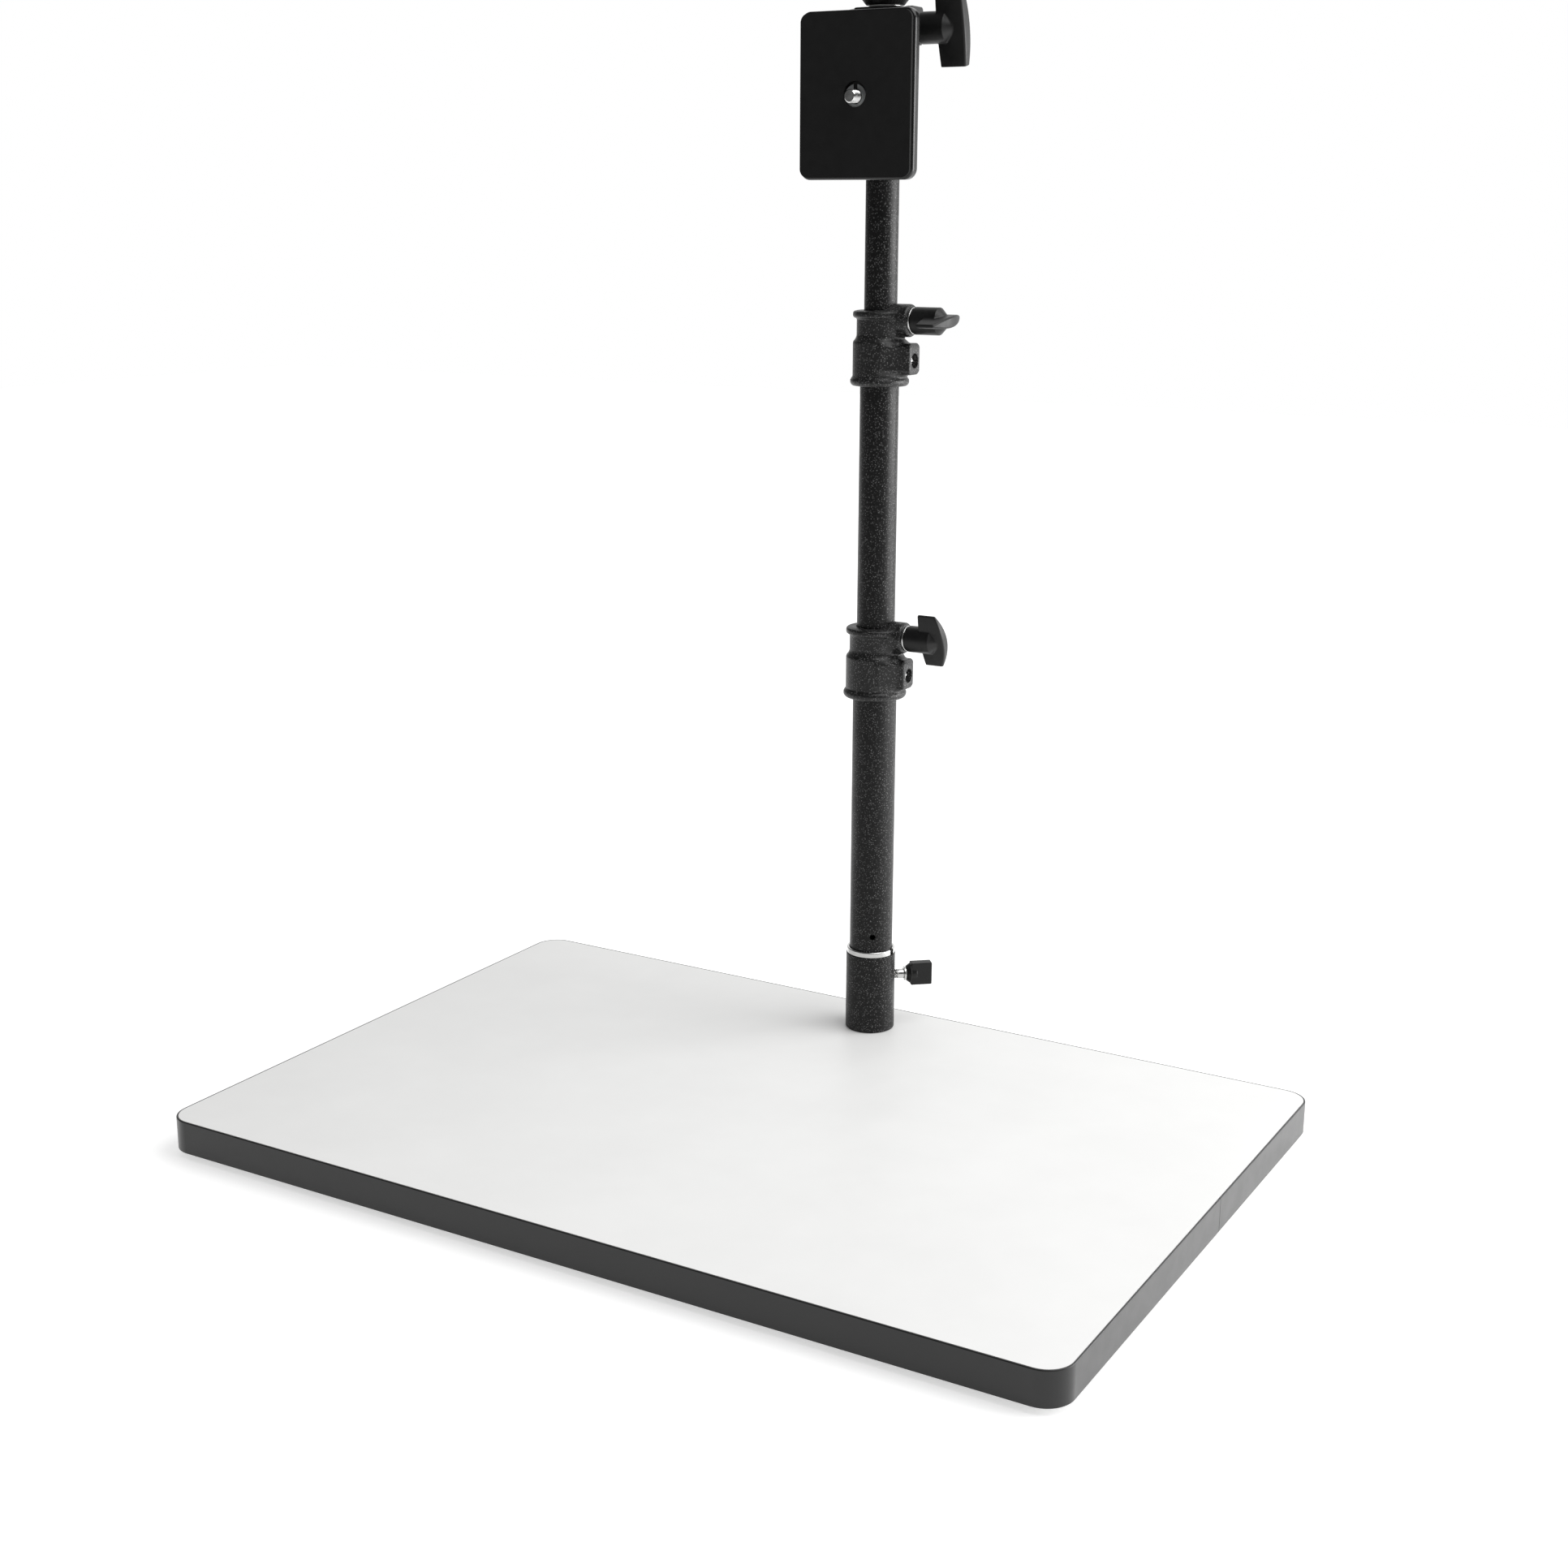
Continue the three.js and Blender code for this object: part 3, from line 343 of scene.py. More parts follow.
def face_outwards(piece):
    form = bmesh.new()
    form.from_mesh(piece.data)
    bmesh.ops.recalc_face_normals(form, faces=form.faces)
    form.to_mesh(piece.data)
    form.free()
    return piece


def settle(piece):
    """Applies the piece's modifiers to its mesh."""
    shaped = piece.evaluated_get(bpy.context.evaluated_depsgraph_get())
    mesh = bpy.data.meshes.new_from_object(shaped)
    piece.modifiers.clear()
    piece.data = mesh
    return piece


def smoothed(piece):
    """Shades curved faces smoothly and keeps the flat ones flat."""
    piece.data.shade_smooth()
    piece.data.set_sharp_from_angle(angle=SHARP_ANGLE)
    weighted = piece.modifiers.new("weighted", "WEIGHTED_NORMAL")
    weighted.keep_sharp = True
    return settle(piece)


def cut_by(piece, *tools):
    """Takes the tools' shapes out of the piece."""
    for tool in tools:
        cut = piece.modifiers.new("cut", "BOOLEAN")
        cut.operation = "DIFFERENCE"
        cut.solver = "EXACT"
        cut.object = tool
        settle(piece)
        bpy.data.objects.remove(tool)
    return piece


def moved(piece, x=0, y=0, z=0, turn=None):
    """Turns a piece about the origin and then moves it."""
    shift = Matrix.Translation((x, y, z))
    piece.data.transform(shift @ turn if turn else shift)
    return piece


ALONG_X = Matrix.Rotation(math.pi / 2, 4, "Y")
FACING_FRONT = Matrix.Rotation(math.pi / 2, 4, "X")


def heading(angle):
    """From along +Z to lying level, at an angle from +X."""
    return Matrix.Rotation(angle, 4, "Z") @ ALONG_X


def rounded(corners, closed=False):
    """An outline of (across, up, radius) corners, in which each radius becomes an arc."""
    points = []
    count = len(corners)
    for index, (across, up, radius) in enumerate(corners):
        at_end = not closed and index in (0, count - 1)
        here = np.array([across, up], float)
        if radius <= 0 or at_end:
            points.append(here)
            continue
        before = np.array(corners[index - 1][:2], float) - here
        after = np.array(corners[(index + 1) % count][:2], float) - here
        reach_before = np.linalg.norm(before)
        reach_after = np.linalg.norm(after)
        before /= reach_before
        after /= reach_after
        half = math.acos(float(np.clip(before @ after, -1, 1))) / 2
        tangent = min(radius / math.tan(half), reach_before / 2, reach_after / 2)
        arc = tangent * math.tan(half)
        bisector = before + after
        centre = here + bisector / np.linalg.norm(bisector) * arc / math.sin(half)
        start = here + before * tangent - centre
        end = here + after * tangent - centre
        first = math.atan2(start[1], start[0])
        sweep = math.atan2(end[1], end[0]) - first
        sweep = (sweep + math.pi) % (2 * math.pi) - math.pi
        for step in range(ARC_STEPS + 1):
            angle = first + sweep * step / ARC_STEPS
            points.append(centre + arc * np.array([math.cos(angle), math.sin(angle)]))
    return points


def turned(name, corners, closed=False, sides=ROUND_SIDES, ribbed=None):
    """A turned piece about +Z. An open outline starts and ends on the axis."""
    outline = rounded(corners, closed)
    points = []
    rings = []
    for radius, height in outline:
        if radius < ON_AXIS:
            rings.append([len(points)] * sides)
            points.append((0, 0, height))
            continue
        rings.append(list(range(len(points), len(points) + sides)))
        for side in range(sides):
            angle = 2 * math.pi * side / sides
            out = ribbed(radius, height, angle) if ribbed else radius
            points.append((out * math.cos(angle), out * math.sin(angle), height))
    faces = []
    last = len(rings) if closed else len(rings) - 1
    for index in range(last):
        ring, above = rings[index], rings[(index + 1) % len(rings)]
        for side in range(sides):
            turn = (side + 1) % sides
            loop = [ring[side], ring[turn], above[turn], above[side]]
            face = list(dict.fromkeys(loop))
            if len(face) > 2:
                faces.append(face)
    return face_outwards(new_piece(name, points, faces))


def round_bar(name, radius, low, high, sides=ROUND_SIDES):
    """A plain bar, used only as a cutting tool."""
    return turned(name, [(0, low, 0), (radius, low, 0), (radius, high, 0), (0, high, 0)], sides=sides)


def washer(name, hole, radius, low, high, edge):
    corners = [(hole, low, edge), (radius, low, edge), (radius, high, edge), (hole, high, edge)]
    return turned(name, corners, closed=True)


def ripple(count, angle):
    """From 0 to 1 and back, count times a turn: the waves of ribs and knurls."""
    return 0.5 - 0.5 * math.cos(count * angle)


def threaded(name, radius, pitch, low, high, thread_low, thread_high):
    """A round bar with a helical thread between two heights: a sixty-degree vee, cut to five eighths
    of its full depth."""
    depth = pitch * math.sqrt(3) / 2 * 5 / 8
    rings = math.ceil((high - low) / pitch * RINGS_PER_PITCH)
    points = [(0, 0, low)]
    for ring in range(rings + 1):
        height = low + (high - low) * ring / rings
        inside = min(height - thread_low, thread_high - height) / pitch
        share = min(max(inside, 0), 1)
        taper = depth * max(0, 1 - min(height - low, high - height) / (pitch / 2))
        for side in range(THREAD_SIDES):
            angle = 2 * math.pi * side / THREAD_SIDES
            phase = (height / pitch - side / THREAD_SIDES) % 1
            groove = 1 - abs(2 * phase - 1)
            out = radius - taper - (depth - taper) * groove * share
            points.append((out * math.cos(angle), out * math.sin(angle), height))
    points.append((0, 0, high))
    faces = []
    for ring in range(rings):
        first = 1 + ring * THREAD_SIDES
        for side in range(THREAD_SIDES):
            turn = (side + 1) % THREAD_SIDES
            above = first + THREAD_SIDES
            faces.append((first + side, first + turn, above + turn, above + side))
    top = len(points) - 1
    last = top - THREAD_SIDES
    for side in range(THREAD_SIDES):
        turn = (side + 1) % THREAD_SIDES
        faces.append((0, 1 + turn, 1 + side))
        faces.append((top, last + side, last + turn))
    return face_outwards(new_piece(name, points, faces))


def rectangle_loop(half_x, half_y, corner):
    """The points of a rectangle with round corners, in order."""
    points = []
    for quarter, (side_x, side_y) in enumerate([(1, 1), (-1, 1), (-1, -1), (1, -1)]):
        for step in range(CORNER_STEPS + 1):
            angle = math.pi / 2 * (quarter + step / CORNER_STEPS)
            x = side_x * (half_x - corner) + corner * math.cos(angle)
            y = side_y * (half_y - corner) + corner * math.sin(angle)
            points.append((x, y))
    return points


def slab(name, half_x, half_y, corner, section, closed=False):
    """A plate with round corners. Its section is (inset, height, radius) corners of its edge."""
    outline = rounded(section, closed)
    points = []
    for inset, height in outline:
        loop = rectangle_loop(half_x - inset, half_y - inset, corner - inset)
        points.extend((x, y, height) for x, y in loop)
    size = len(points) // len(outline)
    faces = []
    last = len(outline) if closed else len(outline) - 1
    for index in range(last):
        ring = index * size
        above = (index + 1) % len(outline) * size
        for side in range(size):
            turn = (side + 1) % size
            faces.append((ring + side, ring + turn, above + turn, above + side))
    if not closed:
        faces.append(range(size - 1, -1, -1))
        faces.append(range(len(points) - size, len(points)))
    return face_outwards(new_piece(name, points, faces))


def block(name, low, high):
    """A plain box, used only as a cutting tool."""
    corners = list(itertools.product(*zip(low, high)))
    faces = [(0, 1, 3, 2), (4, 6, 7, 5), (0, 4, 5, 1), (2, 3, 7, 6), (0, 2, 6, 4), (1, 5, 7, 3)]
    return face_outwards(new_piece(name, corners, faces))


# Moulded forms, from distance fields: below zero inside, above zero outside. A sloping distance is
# divided by its ease, so that it grows about as fast as a true one.

def fused(first, second, fillet):
    """Two forms grown together, with a fillet where they meet."""
    dip = np.hypot(np.maximum(fillet - first, 0), np.maximum(fillet - second, 0))
    return np.maximum(fillet, np.minimum(first, second)) - dip


def met(first, second, edge):
    """Where two forms overlap, with the edge between them rounded."""
    bulge = np.hypot(np.maximum(first + edge, 0), np.maximum(second + edge, 0))
    return np.minimum(-edge, np.maximum(first, second)) + bulge


def hollowed(form, room, edge):
    return met(form, -room, edge)


def between(value, low, high):
    return np.maximum(low - value, value - high)


def bar(across, along, radius, low, high, edge):
    """A round bar: across is the distance from its axis, along the place on it."""
    return met(across - radius, between(along, low, high), edge)


def pane(across, up, half_width, half_height, corner):
    """A rectangle with round corners, seen flat."""
    out_across = np.abs(across) - half_width + corner
    out_up = np.abs(up) - half_height + corner
    outside = np.hypot(np.maximum(out_across, 0), np.maximum(out_up, 0))
    return outside + np.minimum(np.maximum(out_across, out_up), 0) - corner


def hexagon(across, up, across_flats):
    flats = [abs(across * math.cos(a) + up * math.sin(a)) for a in np.radians([30, 90, 150])]
    return np.maximum.reduce(flats) - across_flats / 2


def slope_of(field, points):
    slopes = []
    for axis in range(3):
        shift = np.zeros(3)
        shift[axis] = PROBE_LENGTH
        slopes.append((field(points + shift) - field(points - shift)) / (2 * PROBE_LENGTH))
    return np.stack(slopes, -1)


def set_on_surface(field, points, limit):
    """Moves points along the field's slope until they lie on its surface."""
    slope = slope_of(field, points)
    steep = np.maximum((slope ** 2).sum(-1), LEAST_STEEPNESS)
    shift = -(field(points) / steep)[:, None] * slope
    length = np.linalg.norm(shift, axis=1, keepdims=True)
    return points + shift * np.minimum(1, limit / np.maximum(length, TINY))


def moulded(name, field, low, high, step, kept_share=KEPT_SHARE):
    """Meshes a field between two corners. Its points are evened out and set on the surface, and its
    normals come from the field, so that fillets shade smoothly."""
    counts = (np.ceil((high - low) / step) + 2 * GRID_MARGIN + 1).astype(int)
    lines = [low[axis] + step * (np.arange(counts[axis]) - GRID_MARGIN) for axis in range(3)]
    grid = np.stack(np.meshgrid(*lines, indexing="ij"), -1)
    inside = field(grid) < 0
    cells = counts - 1
    filled = sum(inside[i:i + cells[0], j:j + cells[1], k:k + cells[2]].astype(int)
                 for i, j, k in itertools.product((0, 1), repeat=3))
    crossed = (filled > 0) & (filled < 8)
    number = np.full(crossed.shape, -1)
    number[crossed] = np.arange(crossed.sum())
    points = grid[:-1, :-1, :-1][crossed] + step / 2
    quads = []
    for axis in range(3):
        near = np.take(inside, range(cells[axis]), axis)
        far = np.take(inside, range(1, counts[axis]), axis)
        places = np.argwhere(near != far)
        beside = np.eye(3, dtype=int)[(axis + 1) % 3]
        above = np.eye(3, dtype=int)[(axis + 2) % 3]
        around = [places, places - beside, places - beside - above, places - above]
        quad = np.stack([number[tuple(cell.T)] for cell in around], 1)
        leaving = near[tuple(places.T)]
        quad[~leaving] = quad[~leaving][:, ::-1]
        quads.append(quad)
    quads = np.concatenate(quads)
    starts = quads.ravel()
    ends = np.roll(quads, -1, 1).ravel()
    shares = np.bincount(starts, minlength=len(points))[:, None]
    for _ in range(EVENING_ROUNDS):
        points = set_on_surface(field, points, step)
        sums = [np.bincount(starts, points[ends, axis], len(points)) for axis in range(3)]
        points = (points + np.stack(sums, -1) / shares) / 2
    points = set_on_surface(field, set_on_surface(field, points, step), step)
    piece = new_piece(name, points, quads)
    thinned = piece.modifiers.new("thinned", "DECIMATE")
    thinned.ratio = kept_share
    settle(piece)
    points = np.array([vertex.co for vertex in piece.data.vertices], float)
    points = set_on_surface(field, points, step / 4)
    piece.data.vertices.foreach_set("co", points.ravel())
    piece.data.shade_smooth()
    normals = slope_of(field, points)
    normals /= np.maximum(np.linalg.norm(normals, axis=1, keepdims=True), TINY)
    piece.data.normals_split_custom_set_from_vertices(normals.tolist())
    piece.data.update()
    return piece


# Finishes

def linear(code):
    """An sRGB hex colour as linear red, green, blue and alpha."""
    parts = [int(code[place:place + 2], 16) / 255 for place in (1, 3, 5)]
    return [part / 12.92 if part <= 0.04045 else ((part + 0.055) / 1.055) ** 2.4 for part in parts] + [1]


def add(tree, kind, sockets=None, **settings):
    """Adds a node with its settings, and gives each named socket a value or another node's output."""
    node = tree.nodes.new("ShaderNode" + kind)
    for name, value in settings.items():
        setattr(node, name, value)
    for name, value in (sockets or {}).items():
        if isinstance(value, bpy.types.NodeSocket):
            tree.links.new(value, node.inputs[name])
        else:
            node.inputs[name].default_value = value
    return node


def per_metre(size):
    """The scale of a pattern whose features are this many millimetres apart."""
    return 1 / (size * MM)


# Sockets of the Mix node: its factor, its two colours and what they give, and its two plain levels
FACTOR, FIRST, SECOND, MIXED = 0, 6, 7, 2
FIRST_LEVEL, SECOND_LEVEL = 2, 3

# Nearly all of a noise lies between these
NOISE_LOW, NOISE_HIGH = 0.3, 0.7

# How finely patches and grain are broken up, and how much of a painted glint is at its full strength
PATCH_DETAIL = 4
GRAIN_DETAIL = 2
GLINT_CORE_SHARE = 0.6


def finish(name, shades, patch, roughness, grain, relief, stretch=(1, 1, 1), painted_glints=None, **shader):
    """A finish with two shades in soft patches, a roughness that follows them, and a fine relief.
    patch and grain are sizes in millimetres, and relief is the depth of the grain. Most real grains
    are 0.1 to 0.3 mm, too fine to show, and are drawn at 0.5 mm or more so that they do. Painted
    glints are pale specks painted into the colour where light would glint on grains: how far apart
    they lie in millimetres, their radius as a share of that, and their colour."""
    material = bpy.data.materials.new(name)
    material.use_nodes = True
    tree = material.node_tree
    tree.nodes.clear()
    place = add(tree, "TexCoord").outputs["Object"]
    laid = add(tree, "Mapping", {"Vector": place, "Scale": stretch}).outputs["Vector"]
    patches = add(tree, "TexNoise", {"Vector": laid, "Scale": per_metre(patch),
                                      "Detail": PATCH_DETAIL})
    spread = add(tree, "MapRange", {"Value": patches.outputs["Fac"], "From Min": NOISE_LOW,
                                    "From Max": NOISE_HIGH})
    colour = add(tree, "Mix", {FACTOR: spread.outputs["Result"], FIRST: linear(shades[0]),
                               SECOND: linear(shades[1])}, data_type="RGBA")
    # Pale specks painted into the colour stand in for glints of light on the grains.
    if painted_glints:
        spacing, size_share, pale = painted_glints
        cells = add(tree, "TexVoronoi", {"Vector": laid, "Scale": per_metre(spacing)}).outputs
        glint_spots = add(tree, "MapRange", {"Value": cells["Distance"],
                                       "From Min": size_share * GLINT_CORE_SHARE,
                                       "From Max": size_share, "To Min": 1, "To Max": 0})
        strength = add(tree, "SeparateColor", {"Color": cells["Color"]}).outputs["Red"]
        amount = add(tree, "Math", {0: glint_spots.outputs["Result"], 1: strength}, operation="MULTIPLY")
        colour = add(tree, "Mix", {FACTOR: amount.outputs[0], FIRST: colour.outputs[MIXED],
                                   SECOND: linear(pale)}, data_type="RGBA")
    fine = add(tree, "TexNoise", {"Vector": laid, "Scale": per_metre(grain),
                                   "Detail": GRAIN_DETAIL})
    worn = add(tree, "MapRange", {"Value": patches.outputs["Fac"], "From Min": NOISE_LOW,
                                  "From Max": NOISE_HIGH, "To Min": roughness[0],
                                  "To Max": roughness[1]})
    bump = add(tree, "Bump", {"Height": fine.outputs["Fac"], "Distance": relief * MM})
    skin = add(tree, "BsdfPrincipled", {"Base Color": colour.outputs[MIXED],
                                        "Roughness": worn.outputs["Result"],
                                        "Normal": bump.outputs["Normal"], **shader})
    add(tree, "OutputMaterial", {"Surface": skin.outputs["BSDF"]})
    return material


def melamine_laminate():
    # White melamine paper pressed under a fine matt plate: an even white with a soft sheen.
    return finish("white_melamine_laminate", shades=("#EBEBEA", "#EFEFEE"), patch=40,
                  roughness=(0.42, 0.5), grain=0.9, relief=0.006)


def edge_banding():
    # Black PVC tape under a thin clear lacquer: dark when it faces the eye, bright at a low angle.
    return finish("black_pvc_edge_band", shades=("#0E0E0E", "#141414"), patch=9,
                  roughness=(0.38, 0.46), grain=0.8, relief=0.02,
                  **{"IOR": 1.54, "Specular IOR Level": 0.3, "Coat Weight": 1.0, "Coat IOR": 1.3,
                     "Coat Roughness": 0.35})


def powder_coat():
    # Textured powder coat on steel tube: near black, with pale specks painted into the colour as the
    # glints of light on its grains. The real grains are about 0.3 mm across, and the painted glints are
    # drawn twice as coarse so that they still show.
    return finish("black_powder_coat", shades=("#050505", "#0A0A0A"), patch=14,
                  roughness=(0.34, 0.44), grain=0.9, relief=0.04, painted_glints=(0.8, 0.4, "#6C6C6C"),
                  **{"Specular IOR Level": 0.3})


def satin_enamel():
    # Stoved enamel on the cast head: black and smooth, so its flats and edges carry clear highlights.
    return finish("satin_black_enamel", shades=("#0D0D0D", "#131313"), patch=18,
                  roughness=(0.2, 0.27), grain=1.4, relief=0.008, **{"Specular IOR Level": 0.5})


def glass_filled_nylon():
    # Injection-moulded nylon with glass fibre: dark grey, spark-eroded texture, broad soft highlight,
    # and pale specks painted into the colour as glints of light on the glass. The real specks are about
    # 0.3 mm across, and are drawn twice as coarse so that they still show.
    return finish("moulded_glass_filled_nylon", shades=("#0F0F0F", "#161616"), patch=7,
                  roughness=(0.36, 0.46), grain=0.9, relief=0.04, painted_glints=(0.8, 0.4, "#747474"),
                  **{"Specular IOR Level": 0.5})


def knob_moulding():
    # Moulded ABS: a little blacker and smoother than the collars, so its flats catch the light.
    return finish("moulded_black_abs", shades=("#101010", "#171717"), patch=6,
                  roughness=(0.36, 0.48), grain=1.0, relief=0.02, **{"Specular IOR Level": 0.4})


def bright_nickel():
    # Nickel plate over turned steel: bright and neutral, faintly rippled, with a haze in patches.
    return finish("bright_nickel_plate", shades=("#D4D4D3", "#E0E0DF"), patch=5,
                  roughness=(0.14, 0.28), grain=0.5, relief=0.003, **{"Metallic": 1.0})


def zinc_plate():
    # Zinc plate with clear passivation: a cool grey metal with a slightly cloudy surface.
    return finish("zinc_plated_steel", shades=("#A9ACAD", "#BEC0BF"), patch=4,
                  roughness=(0.3, 0.45), grain=0.5, relief=0.006, **{"Metallic": 1.0})


def natural_nylon():
    # Unpigmented nylon: milky, slightly yellow, with a waxy sheen.
    return finish("natural_nylon", shades=("#DAD6C8", "#E4E0D3"), patch=6, roughness=(0.42, 0.55),
                  grain=0.8, relief=0.01)


def moulded_rubber():
    # Black moulded rubber: dull, with a dusty bloom.
    return finish("moulded_black_rubber", shades=("#151515", "#1C1C1C"), patch=5,
                  roughness=(0.75, 0.9), grain=0.7, relief=0.03, **{"Specular IOR Level": 0.25})


def particle_board():
    # Pressed wood chips: pale and dark flakes about two millimetres across that lie flat, and are
    # rough where they are cut.
    return finish("raw_particle_board", shades=("#8E6A42", "#C4A274"), patch=2.2,
                  roughness=(0.85, 0.95), grain=1.2, relief=0.15, stretch=(1, 1, 3))


finishes = {
    "particle_board": particle_board(),
    "white_laminate": melamine_laminate(),
    "black_edge_band": edge_banding(),
    "rubber": moulded_rubber(),
    "black_powder_coat": powder_coat(),
    "black_enamel": satin_enamel(),
    "black_moulding": glass_filled_nylon(),
    "black_knob": knob_moulding(),
    "bright_nickel": bright_nickel(),
    "zinc_steel": zinc_plate(),
    "nylon": natural_nylon(),
}


def dress(piece, node):
    """Sets a finished piece in the place of its CAD node: the same body, slot and finish."""
    piece.data.transform(Matrix.Scale(MM, 4))
    piece.data.materials.clear()
    piece.data.materials.append(finishes[slot_of[node]])
    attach(piece, body_of[node])
    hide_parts(node)


for node, carried in frame["nodes"].items():
    carried.data.materials.clear()
    carried.data.materials.append(finishes[slot_of[node]])


# Baseboard

def make_board():
    low, high = reach("edge_band")
    half_x, half_y = (high[0] - low[0]) / 2, (high[1] - low[1]) / 2
    band = slab("edge_band_tape", half_x, half_y, BOARD_CORNER, [
        (0, low[2], BAND_EDGE),
        (0, high[2], BAND_EDGE),
        (BAND_THICKNESS - SEAT_GAP, high[2], SHEET_EDGE),
        (BAND_THICKNESS - SEAT_GAP, low[2], SHEET_EDGE),
    ], closed=True)
    seam = block("seam", (half_x - OVERRUN, BAND_SEAM_Y - BAND_SEAM_GAP / 2, low[2] - OVERRUN),
                 (half_x + OVERRUN, BAND_SEAM_Y + BAND_SEAM_GAP / 2, high[2] + OVERRUN))
    dress(smoothed(cut_by(band, seam)), "edge_band")

    sheets = {"top_laminate": BOLT_RADIUS + SCREW_GAP, "bottom_laminate": RECESS_RADIUS,
              "baseboard_core": RECESS_RADIUS}
    for node, hole_radius in sheets.items():
        low, high = reach(node)
        sheet = slab(node + "_sheet", half_x - BAND_THICKNESS, half_y - BAND_THICKNESS,
                     BOARD_CORNER - BAND_THICKNESS,
                     [(0, low[2], 0), (0, high[2], 0)])
        cut_low = low[2] - OVERRUN
        cut_high = high[2] + OVERRUN
        if node == "baseboard_core":
            cut_high = reach("socket_bolt_washer")[1][2] + SEAT_GAP
            shank = round_bar("shank", BOLT_RADIUS + SCREW_GAP, cut_low, high[2] + OVERRUN)
            cut_by(sheet, moved(shank, y=column_y))
        hole = round_bar("hole", hole_radius, cut_low, cut_high)
        dress(smoothed(cut_by(sheet, moved(hole, y=column_y))), node)


def make_feet():
    for node in [name for name in body_of if name.startswith("foot_")]:
        centre = middle(node)
        radius = radius_of(node)
        top = reach(node)[1][2]
        foot = turned(node + "_bumper", [
            (0, FOOT_DIMPLE_DEPTH, 0),
            (FOOT_DIMPLE_RADIUS, FOOT_DIMPLE_DEPTH, FOOT_ARRIS),
            (FOOT_DIMPLE_RADIUS, 0, FOOT_ARRIS),
            (radius - FOOT_EDGE, 0, FOOT_EDGE),
            (radius, top, FOOT_ARRIS),
            (0, top, 0),
        ])
        dress(smoothed(moved(foot, centre[0], centre[1])), node)


# Socket and its thumbscrew

def make_socket():
    low, high = reach("column_socket")
    radius = radius_of("column_socket")
    bore = lower_radius + SLIDE_GAP
    skirt = bore + BUSH_SKIRT_WALL
    bush_low, bush_high = reach("socket_bush")
    screw_z = middle("socket_screw")[2]
    socket = turned("socket_cup", [
        (0, low[2], 0),
        (radius, low[2], SOCKET_FOOT_ROUND),
        (radius, high[2], SOCKET_EDGE),
        (skirt + SEAT_GAP, high[2], BORE_EDGE),
        (skirt + SEAT_GAP, bush_low[2] - SEAT_GAP, BORE_EDGE),
        (bore, bush_low[2] - SEAT_GAP, BORE_EDGE),
        (bore, low[2] + SOCKET_FLOOR, SOCKET_FLOOR_ROUND),
        (0, low[2] + SOCKET_FLOOR, 0),
    ], sides=SOCKET_SIDES)
    screw_hole = round_bar("screw_hole", SOCKET_SCREW_RADIUS + SCREW_GAP, 0, radius + OVERRUN)
    bolt_hole = round_bar("bolt_hole", BOLT_RADIUS + SCREW_GAP, low[2] - OVERRUN,
                          low[2] + SOCKET_FLOOR + OVERRUN)
    moved(screw_hole, z=screw_z, turn=heading(SCREW_HEADING))
    dress(smoothed(moved(cut_by(socket, screw_hole, bolt_hole), y=column_y)), "column_socket")

    lip = radius_of("socket_bush")
    bush = turned("split_bush", [
        (bore, bush_low[2], BORE_EDGE),
        (skirt, bush_low[2], BORE_EDGE),
        (skirt, high[2] + SEAT_GAP, 0),
        (lip, high[2] + SEAT_GAP, BUSH_LIP_EDGE),
        (lip, bush_high[2], BUSH_LIP_ROUND),
        (bore, bush_high[2], BUSH_MOUTH_ROUND),
    ], closed=True, sides=SOCKET_SIDES)
    slot = block("slot", (0, -BUSH_SLOT / 2, bush_low[2] - OVERRUN),
                 (radius + OVERRUN, BUSH_SLOT / 2, bush_high[2] + OVERRUN))
    dress(smoothed(moved(cut_by(bush, slot), y=column_y)), "socket_bush")


def make_socket_screw():
    level = middle("socket_screw")[2]
    lying = heading(SCREW_HEADING)
    screw = threaded("thumbscrew_shank", SOCKET_SCREW_RADIUS, SOCKET_SCREW_PITCH, SOCKET_SCREW_TIP,
                     SOCKET_SCREW_END, SOCKET_SCREW_TIP - OVERRUN, SOCKET_THREAD_END)
    dress(smoothed(moved(screw, y=column_y, z=level, turn=lying)), "socket_screw")
    ferrule = washer("thumbscrew_ferrule", SOCKET_SCREW_RADIUS + SCREW_GAP, FERRULE_RADIUS,
                     FERRULE_START, FERRULE_END, WASHER_EDGE)
    dress(smoothed(moved(ferrule, y=column_y, z=level, turn=lying)), "socket_screw_ferrule")

    collar_end = WING_START + WING_COLLAR_LENGTH
    wing_end = collar_end + WING_LENGTH / 2

    def wing_knob(points):
        x, y, z = points[..., 0], points[..., 1] - column_y, points[..., 2] - level
        along = x * math.cos(SCREW_HEADING) + y * math.sin(SCREW_HEADING)
        side = y * math.cos(SCREW_HEADING) - x * math.sin(SCREW_HEADING)
        across = np.hypot(side, z)
        flare = (WING_COLLAR_RADIUS - FERRULE_RADIUS) / WING_COLLAR_LENGTH
        cone = FERRULE_RADIUS + (along - WING_START) * flare
        collar = met(across - cone, between(along, WING_START, collar_end), WING_EDGE)
        core = bar(across, along, WING_CORE_RADIUS, WING_START, WING_CORE_END, WING_EDGE)
        collar = fused(collar, core, WING_FILLET)
        wing = met(pane(along - wing_end, z, WING_LENGTH / 2, WING_HEIGHT / 2, WING_EDGE),
                   np.abs(side) - WING_THICKNESS / 2, WING_EDGE)
        bore = bar(across, along, SOCKET_SCREW_RADIUS + SCREW_GAP, 0, SOCKET_SCREW_END + SEAT_GAP,
                   BORE_EDGE)
        return hollowed(fused(collar, wing, WING_FILLET), bore, BORE_EDGE)

    low, high = reach("socket_wing_knob")
    dress(moulded("thumbscrew_wing", wing_knob, low, high, WING_CELL), "socket_wing_knob")


